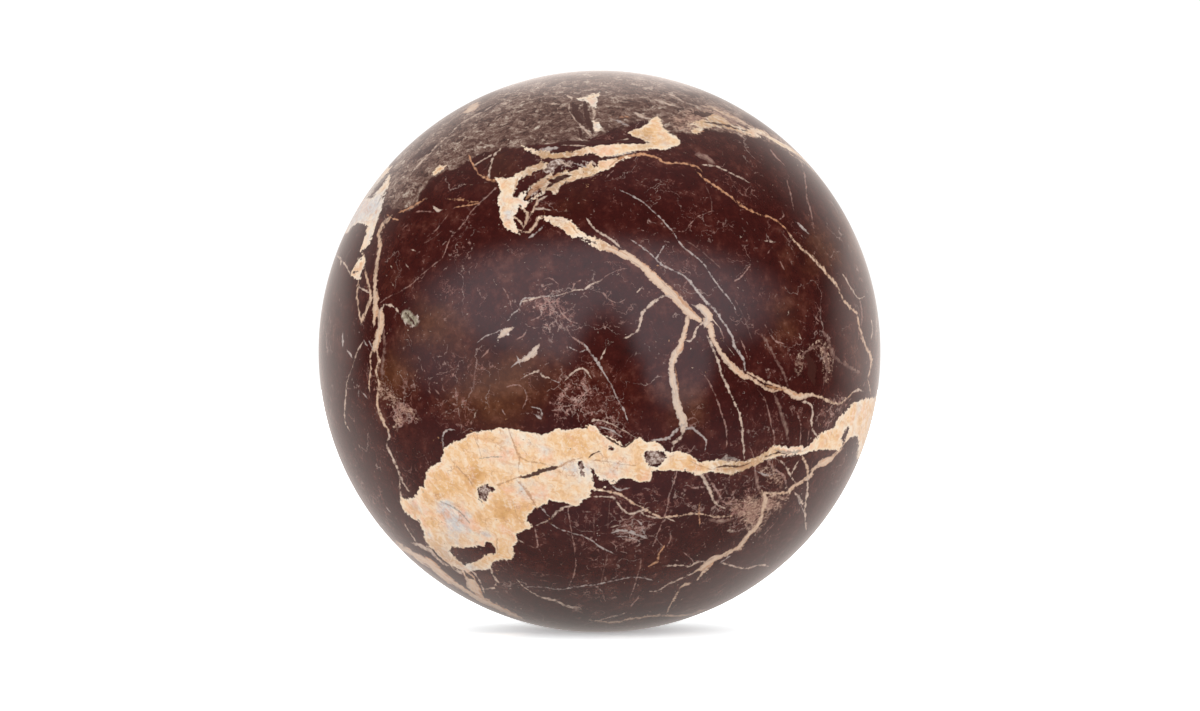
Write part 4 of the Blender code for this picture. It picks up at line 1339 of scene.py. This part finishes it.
def lay(tree, below, above, *shares):
    """One colour laid over another, by the product of the shares."""
    amount, *rest = shares
    for share in rest:
        amount = add(tree, "ShaderNodeMath", {0: amount, 1: share}, operation="MULTIPLY")
    above = linear(above) if isinstance(above, str) else above
    inputs = {0: amount, 6: below, 7: above}
    return add(tree, "ShaderNodeMix", inputs, 2, data_type="RGBA", clamp_factor=True)


def noise(tree, where, size_mm, detail=3.0, roughness=0.5):
    """Noise about zero, from -0.5 to 0.5, with blots of this size."""
    inputs = {"Vector": where, "Scale": 1000 / size_mm, "Detail": detail, "Roughness": roughness}
    return weigh(tree, -0.5, add(tree, "ShaderNodeTexNoise", inputs))


def shifted(tree, where, size_mm, reach_mm):
    """The place, pushed about by noise as far as the reach."""
    inputs = {"Vector": where, "Scale": 1000 / size_mm, "Detail": 3.0, "Roughness": 0.6}
    push = add(tree, "ShaderNodeTexNoise", inputs, "Color")
    push = add(tree, "ShaderNodeVectorMath", {0: push, 1: (0.5, 0.5, 0.5)}, operation="SUBTRACT")
    reach = (reach_mm / 500,) * 3
    return add(tree, "ShaderNodeVectorMath", {0: push, 1: reach, 2: where}, operation="MULTIPLY_ADD")


def net(tree, where, cell_mm, width_mm):
    """1 along the borders of cells of this size."""
    inputs = {"Vector": where, "Scale": 1000 / cell_mm}
    border = add(tree, "ShaderNodeTexVoronoi", inputs, "Distance", feature="DISTANCE_TO_EDGE")
    return rise(tree, width_mm / cell_mm, 0.0, border)


def thread(tree, where, size_mm, width):
    """1 where noise of this size crosses zero: long thin wandering lines."""
    level = add(tree, "ShaderNodeMath", {0: noise(tree, where, size_mm)}, operation="ABSOLUTE")
    return rise(tree, width, 0.0, level)


def ground(tree, grain):
    """Dark wine-red ground, clouded with warm brown, with a faint dusty haze."""
    clouds = weigh(tree, (grain.middling, 0.6), (grain.broad, 0.5))
    depth = weigh(tree, 0.5, (grain.small, 0.6), (grain.fine, 0.4), clouds)
    brown = rise(tree, 0.08, 1.0, ("brown", 0.8), (grain.broad, 1.5), (grain.middling, 0.5))
    colour = lay(tree, shade(tree, WINE, depth), shade(tree, UMBER, depth), brown)
    haze = rise(tree, 0.05, 0.45, grain.middling, (grain.small, 0.8), (grain.broad, 0.5), ("crackle", 0.04))
    return lay(tree, colour, "#80584E", haze, 0.26)


def hairlines(tree, colour, grain):
    """Nets and threads of hairline calcite, and specks of it, denser where the ground is crazed."""
    netted = rise(tree, -0.3, 0.5, "netted", (grain.middling, 1.5))
    crowd = weigh(tree, "crackle", (netted, 0.9))
    dust = noise(tree, grain.place, 3.2, 4.0, 0.65)
    dusting = weigh(tree, 0.25, (dust, 2.6), (grain.fine, 0.7), (crowd, 0.8))
    for cell_mm, width_mm, need, tone in HAIRLINE_NETS:
        shown = rise(tree, need, need + 0.5, dusting, (noise(tree, grain.place, 1.4), 1.2))
        colour = lay(tree, colour, tone, net(tree, grain.crumpled, cell_mm, width_mm), shown, 0.8)
    for size_mm, width, need, tone in HAIRLINE_THREADS:
        spread = noise(tree, grain.place, 9.0)
        shown = rise(tree, need, need + 0.1, spread, (grain.fine, 0.4), (crowd, 0.14))
        colour = lay(tree, colour, tone, thread(tree, grain.crumpled, size_mm, width), shown, 0.6)
    specks = rise(tree, 0.22, 0.3, noise(tree, grain.place, 0.8), (grain.middling, 0.4), (crowd, 0.05))
    return lay(tree, colour, "#B8A092", specks, 0.6)


def breccia(tree, colour, grain):
    """Speckled breccia of the crown: crumbs of grey-beige calcite packed in brown stone."""
    turned = {"Vector": grain.crumpled, "Rotation": (0.0, 0.6, 0.4), "Scale": (1.0, 1.0, 2.0)}
    laid = add(tree, "ShaderNodeMapping", turned)
    shards = add(tree, "ShaderNodeTexVoronoi", {"Vector": laid, "Scale": 1000 / 2.6}, "Color")
    shard = add(tree, "ShaderNodeSeparateXYZ", {0: shards})
    crumbs = noise(tree, laid, 1.5, 6.0, 0.8)
    packed = shade(tree, CRUMBS, 0.36, (crumbs, 1.7), (shard, 0.3), (grain.middling, 0.5))
    there = rise(tree, -0.5, 0.5, "breccia", (grain.middling, 4.0), (grain.small, 1.5))
    return lay(tree, colour, packed, there, 0.94)


def mottling(tree, colour, grain):
    """Small patches where grey calcite and ground are mixed."""
    greys = shade(tree, GREYS, 0.5, (grain.fine, 1.8), (grain.small, 1.4))
    mixed = rise(tree, -0.12, 0.2, -0.175, ("mottled", 0.5), (grain.fine, 2.2), (grain.small, 2.2))
    return lay(tree, colour, greys, mixed, rise(tree, -0.5, 0.1, "mottled"))


def green_nodules(tree, colour, grain):
    """Small greenish nodules, darkest in their cores."""
    greens = shade(tree, GREENS, 1.5, ("olive", -1.0), grain.fine, grain.small)
    return lay(tree, colour, greens, rise(tree, 0.3, 0.7, "olive", (grain.small, 0.5)), 0.8)


def streaking(tree, colour, grain):
    """Streaked calcite, half clear."""
    turned = {"Vector": grain.crumpled, "Rotation": (0.0, 0.7, 0.0), "Scale": (1.0, 1.0, 2.6)}
    strands = noise(tree, add(tree, "ShaderNodeMapping", turned), 2.2, 5.0, 0.7)
    tawny = shade(tree, TAWNY, 0.5, (strands, 1.6), (grain.fine, 0.8))
    crumbly = weigh(tree, (grain.small, 1.6), grain.fine)
    strewn = rise(tree, -0.2, 0.5, -0.15, ("streaked", 0.16), (strands, 3.0), crumbly)
    return lay(tree, colour, tawny, strewn, rise(tree, -0.6, 0.3, "streaked", (grain.small, 1.5)), 0.8)


def trace(tree, name, grain):
    """The veins of one field: offset, offset with wander, half-width, tone, and the room to their borders.

    The room is half-width * bulge + the smaller of half-width and 0.4 mm * chips - |offset with wander|.
    """
    values = add(tree, "ShaderNodeAttribute", output="Vector", attribute_name=name)
    offset, half, tone = add(tree, "ShaderNodeSeparateXYZ", {0: values}).node.outputs
    bent = weigh(tree, offset, (grain.wander, 0.6))
    gap = add(tree, "ShaderNodeMath", {0: bent}, operation="ABSOLUTE")
    small_half = add(tree, "ShaderNodeMath", {0: half, 1: 0.4}, operation="MINIMUM")
    room = weigh(tree, (half, grain.bulge), (small_half, grain.chips), (gap, -1.0))
    return offset, bent, half, tone, room


def pale_veins(tree, colour, grain, layers):
    """Pale veins: bulging borders with small chips, and streaks that run along the vein."""
    patchy = rise(tree, -0.24, 0.02, noise(tree, grain.place, 3.0, 4.0, 0.65), grain.fine)
    thinnest = noise(tree, grain.place, 0.7, 3.0, 0.6)
    streak = weigh(tree, (grain.fine, 0.5), (grain.small, 0.5), (thinnest, 0.4))
    dirt = rise(tree, 0.05, 0.25, noise(tree, grain.place, 1.3, 4.0, 0.7), (grain.small, 0.6))
    for k in range(layers):
        offset, bent, half, tone, room = trace(tree, f"veins_{k}", grain)
        wide = rise(tree, 0.4, 1.4, half)
        thin = rise(tree, 1.4, 0.4, half)
        across = weigh(tree, (bent, 0.014))
        inputs = {"Vector": grain.place, "W": across, "Scale": 1000 / 9.0, "Detail": 4.0}
        along = add(tree, "ShaderNodeTexNoise", inputs, noise_dimensions="4D")
        stripes = weigh(tree, (along, wide), (wide, -0.5))
        tint = shade(tree, VEIN_TONES, tone, (streak, 0.7), stripes, (offset, 0.04))
        tint = lay(tree, tint, "#A57A60", dirt, 0.3)
        tint = lay(tree, tint, "#9B6F5A", rise(tree, 0.07, 0.16, stripes), 0.6)
        tint = lay(tree, tint, "#F0D6BC", rise(tree, 0.3, 1.2, room, (grain.fine, 2.0)), 0.4)
        tint = lay(tree, tint, "#94695A", rise(tree, 0.45, 0.0, room), 0.45, weigh(tree, 1.0, (tone, -1.0)))
        inside = rise(tree, -0.14, 0.18, room)
        dense = weigh(tree, 0.95, (rise(tree, 0.5, 1.0, tone), -0.35), (grain.middling, thin), (wide, 0.15))
        whole = rise(tree, 0.3, 0.9, half)
        broken = add(tree, "ShaderNodeMath", {0: patchy, 1: whole}, operation="MAXIMUM")
        colour = lay(tree, colour, tint, inside, dense, broken)
    return colour


def broad_calcite(tree, colour, grain):
    """Broad calcite: cream, clouded with amber, rose and white, with painted highlights and painted shade of
    soft wrinkles, and a pale rim.
    """
    place, crumpled, fine, small, middling = grain[:5]
    edge = weigh(tree, "calcite", (fine, 2.4), (small, 2.4), (middling, 0.8))
    clouds = noise(tree, place, 12.0)
    cream = shade(tree, CREAMS, 0.5, ("stain", 0.34), (clouds, 0.9), (middling, 0.5), (small, 0.5))
    rose = rise(tree, -0.02, 0.2, noise(tree, place, 10.0, 4.0, 0.6), (small, 0.3))
    cream = lay(tree, cream, "#F6BC9C", rose, 0.7)
    tanned = rise(tree, 0.15, 1.1, "tan", (middling, 0.6), (small, 0.8), (fine, 0.5))
    cream = lay(tree, cream, "#AF8660", tanned, 0.8)
    # Painted light: a painted highlight where the wrinkle noise falls across the step and painted shade where
    # it climbs, as if lit from one side
    beside = add(tree, "ShaderNodeVectorMath", {0: crumpled, 1: PAINTED_WRINKLE_LIGHT_STEP}, operation="ADD")
    for size_mm, amount in PAINTED_WRINKLE_LIGHT:
        here, there = (noise(tree, where, size_mm, 3.0, 0.55) for where in (crumpled, beside))
        slope = weigh(tree, here, (there, -1.0))
        cream = lay(tree, cream, "#FFEEDA", rise(tree, 0.005, 0.09, slope), 0.6 * amount)
        cream = lay(tree, cream, "#D89F72", rise(tree, 0.008, 0.09, (slope, -1.0)), 0.5 * amount)
    seams = net(tree, shifted(tree, place, 4.0, 4.0), 7.0, 0.3)
    cream = lay(tree, cream, "#C08A68", seams, rise(tree, -0.02, 0.14, noise(tree, place, 7.0, 2.0)), 0.6)
    bright = rise(tree, 0.08, 0.35, (fine, 0.6), small, (middling, 0.7))
    cream = lay(tree, cream, "#FFF0DA", bright, 0.4)
    rim = rise(tree, 1.3, 0.1, edge, (small, 2.0))
    cream = lay(tree, cream, "#FBEAD4", rim, weigh(tree, 0.6, (tanned, -0.48)))
    return lay(tree, colour, cream, rise(tree, -0.13, 0.13, edge))


def dark_cracks(tree, colour, grain, layers):
    """Brown cracks and dark slits, over all the rest."""
    for k in range(layers):
        *_, tone, room = trace(tree, f"cracks_{k}", grain)
        inside = rise(tree, -0.14, 0.18, room)
        dense = weigh(tree, 0.95, (rise(tree, 0.1, 0.5, tone), -0.3))
        colour = lay(tree, colour, shade(tree, CRACK_TONES, tone), inside, dense)
    return colour


def polished_stone(vein_layers, crack_layers):
    """Red limestone with calcite veins, cut and polished to a mirror-like gloss over deep colour."""
    material = bpy.data.materials.new("polished_red_limestone")
    material.use_nodes = True
    tree = material.node_tree
    place = add(tree, "ShaderNodeTexCoord", output="Object")
    fine = noise(tree, place, 1.0, 5.0, 0.7)
    small = noise(tree, place, 2.6, 4.0, 0.6)
    middling = noise(tree, place, 6.0, 4.0, 0.6)
    grain = Grain(
        place=place,
        crumpled=shifted(tree, shifted(tree, place, 6.0, 3.0), 1.5, 1.0),
        fine=fine,
        small=small,
        middling=middling,
        broad=noise(tree, place, 26.0, 5.0, 0.55),
        wander=weigh(tree, (fine, 0.7), (small, 1.2), (middling, 1.4)),
        bulge=weigh(tree, 0.98, (noise(tree, place, 4.5), 1.3)),
        chips=weigh(tree, -0.15, (noise(tree, place, 1.5, 4.0, 0.65), 5.0), middling),
    )
    colour = ground(tree, grain)
    for finish in (hairlines, breccia, mottling, green_nodules, streaking):
        colour = finish(tree, colour, grain)
    colour = pale_veins(tree, colour, grain, vein_layers)
    colour = broad_calcite(tree, colour, grain)
    colour = dark_cracks(tree, colour, grain, crack_layers)
    shader = tree.nodes["Principled BSDF"]
    tree.links.new(colour, shader.inputs["Base Color"])
    shader.inputs["Roughness"].default_value = POLISH_ROUGHNESS
    shader.inputs["IOR"].default_value = CALCITE_IOR
    return material


def make_ball():
    """The ball's skin, with its fields and its stone."""
    mesh, directions = ball_skin()
    seen = {side: place_on_disc(side, directions) for side in SIDES}
    pale, dark = vein_fields(seen, VEINS), vein_fields(seen, CRACKS)
    fields = {f"veins_{k}": field for k, field in enumerate(pale)}
    fields |= {f"cracks_{k}": field for k, field in enumerate(dark)}
    fields["calcite"] = np.minimum(outline_field(seen, CALCITE), -outline_field(seen, HOLES))
    patches = {"breccia": BRECCIA, "netted": NETTED, "mottled": MOTTLED, "streaked": STREAKED}
    fields |= {name: outline_field(seen, outlines) for name, outlines in patches.items()}
    spots = {"stain": STAINS, "tan": TAN, "olive": OLIVE, "crackle": CRACKLE, "brown": BROWN}
    fields |= {name: spot_field(seen, drawn) for name, drawn in spots.items()}
    for name, field in fields.items():
        keep_field(mesh, name, field)
    mesh.materials.append(polished_stone(len(pale), len(dark)))
    ball = bpy.data.objects.new("polished_ball", mesh)
    bpy.context.scene.collection.objects.link(ball)
    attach(ball, "root")
    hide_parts("stone_sphere")


def make_floor():
    """A flat floor of white paper, exposed to pure white but for the shadow where the ball touches it."""
    corners = [(x * FLOOR_REACH, y * FLOOR_REACH, 0) for x, y in ((-1, -1), (1, -1), (1, 1), (-1, 1))]
    mesh = bpy.data.meshes.new("floor")
    mesh.from_pydata(corners, [], [(0, 1, 2, 3)])
    material = bpy.data.materials.new("white_paper")
    material.use_nodes = True
    tree = material.node_tree
    tree.nodes.clear()
    papers = []
    for colour, strength in ((FLOOR_PAPER, FLOOR_LIFT), (FLOOR_EXPOSURE, FLOOR_VEIL)):
        paper = add(tree, "ShaderNodeBsdfDiffuse", {"Color": colour})
        light = add(tree, "ShaderNodeEmission", {"Strength": strength})
        papers.append(add(tree, "ShaderNodeAddShader", {0: paper, 1: light}))
    to_camera = add(tree, "ShaderNodeLightPath", output="Is Camera Ray")
    mixed = add(tree, "ShaderNodeMixShader", {0: to_camera, 1: papers[0], 2: papers[1]})
    add(tree, "ShaderNodeOutputMaterial", {"Surface": mixed})
    mesh.materials.append(material)
    floor = bpy.data.objects.new("floor", mesh)
    floor.visible_glossy = False
    bpy.context.scene.collection.objects.link(floor)


def ellipse(tree, normal, x, y, half_width, half_height, softness):
    """1 in an ellipse of the disc and 0 outside, softened: |((n.x - x) / a, (n.z - y) / b)| set against 1."""
    gap = add(tree, "ShaderNodeVectorMath", {0: normal, 1: (x, 0.0, y)}, operation="SUBTRACT")
    inverse = (1 / half_width, 0.0, 1 / half_height)
    gap = add(tree, "ShaderNodeVectorMath", {0: gap, 1: inverse}, operation="MULTIPLY")
    reach = add(tree, "ShaderNodeVectorMath", {0: gap}, "Value", operation="LENGTH")
    return rise(tree, 1 + softness, 1 - softness, reach)


def mirrored_light(tree, direction):
    """How bright the ball mirrors the studio, by its brightest panel or glow less its gaps, and the tint.

    They are laid out by the normal at which the ball mirrors them to the front: for a ray that leaves along
    d, that is n = normalize(d + f), f being the direction to the front. Their place on the disc is n.x, n.z.
    """
    front = SIDES["front"][0].tolist()
    halfway = add(tree, "ShaderNodeVectorMath", {0: direction, 1: front}, operation="ADD")
    normal = add(tree, "ShaderNodeVectorMath", {0: halfway}, operation="NORMALIZE")
    up = add(tree, "ShaderNodeSeparateXYZ", {0: normal}, "Z")
    across = add(tree, "ShaderNodeVectorMath", {0: normal, 1: (1.0, 0.0, 1.0)}, operation="MULTIPLY")
    reach = add(tree, "ShaderNodeVectorMath", {0: across}, "Value", operation="LENGTH")
    shift, *low = LOW_RIM_SHIFT
    reach = weigh(tree, reach, (rise(tree, *low, (up, -1.0)), shift))

    lights = [(ellipse(tree, normal, *shape), level) for level, *shape in PANELS.values()]
    lights.append((rise(tree, *CEILING_GLOW[1:], up), CEILING_GLOW[0]))
    lights.append((rise(tree, *FLOOR_GLOW[1:], (up, -1.0)), FLOOR_GLOW[0]))
    bottom = rise(tree, *BOTTOM_GLOW[1:], (up, -1.0))
    rim_level = weigh(tree, RIM_GLOW[0], (bottom, BOTTOM_GLOW[0] - RIM_GLOW[0]))
    lights.append((rise(tree, *RIM_GLOW[1:], reach), rim_level))
    strength = DIMMEST
    for shape, level in lights:
        inputs = {0: strength, 1: weigh(tree, (shape, level))}
        strength = add(tree, "ShaderNodeMath", inputs, operation="MAXIMUM")
    for level, *shape in GAPS.values():
        kept = weigh(tree, 1.0, (ellipse(tree, normal, *shape), -level))
        strength = add(tree, "ShaderNodeMath", {0: strength, 1: kept}, operation="MULTIPLY")
    return strength, lay(tree, linear("#F4F6FF"), "#FFF3EC", rise(tree, *COOL_TO_WARM, reach))


def make_studio():
    """A white studio: white all round for the camera, even diffuse light, soft panels for reflections."""
    world = bpy.data.worlds.new("studio")
    bpy.context.scene.world = world
    world.use_nodes = True
    tree = world.node_tree
    tree.nodes.clear()
    direction = add(tree, "ShaderNodeTexCoord", output="Generated")
    strength, tint = mirrored_light(tree, direction)
    height = add(tree, "ShaderNodeSeparateXYZ", {0: direction}, "Z")
    tent_strength = weigh(tree, TENT_LEVEL, (height, -TENT_FALL))
    white = linear("#FFFFFF")
    panels = add(tree, "ShaderNodeBackground", {"Color": tint, "Strength": strength})
    tent = add(tree, "ShaderNodeBackground", {"Color": white, "Strength": tent_strength})
    backdrop = add(tree, "ShaderNodeBackground", {"Color": white, "Strength": BACKDROP_LEVEL})
    rays = add(tree, "ShaderNodeLightPath").node.outputs
    lit = add(tree, "ShaderNodeMixShader", {0: rays["Is Glossy Ray"], 1: tent, 2: panels})
    surface = add(tree, "ShaderNodeMixShader", {0: rays["Is Camera Ray"], 1: lit, 2: backdrop})
    add(tree, "ShaderNodeOutputWorld", {"Surface": surface})


def make_camera():
    """Looks a little down at the ball's centre, with a lens that gives the disc its size in the frame."""
    toward = Vector(SIDES["front"][0])
    camera = bpy.data.objects.new("camera", bpy.data.cameras.new("camera"))
    bpy.context.scene.collection.objects.link(camera)
    camera.location = Vector(BALL_CENTRE) + toward * CAMERA_DISTANCE
    camera.rotation_euler = (-toward).to_track_quat("-Z", "Y").to_euler()
    rim_slope = BALL_RADIUS / math.sqrt(CAMERA_DISTANCE**2 - BALL_RADIUS**2)
    camera.data.sensor_width = SENSOR_WIDTH
    camera.data.lens = SENSOR_WIDTH * DISC_RADIUS / (FRAME_WIDTH * rim_slope)
    camera.data.shift_x = (FRAME_WIDTH / 2 - DISC_X) / FRAME_WIDTH
    camera.data.shift_y = (DISC_Y - FRAME_HEIGHT / 2) / FRAME_WIDTH
    bpy.context.scene.camera = camera


bpy.context.scene.view_settings.view_transform = "Standard"
make_ball()
make_floor()
make_studio()
make_camera()
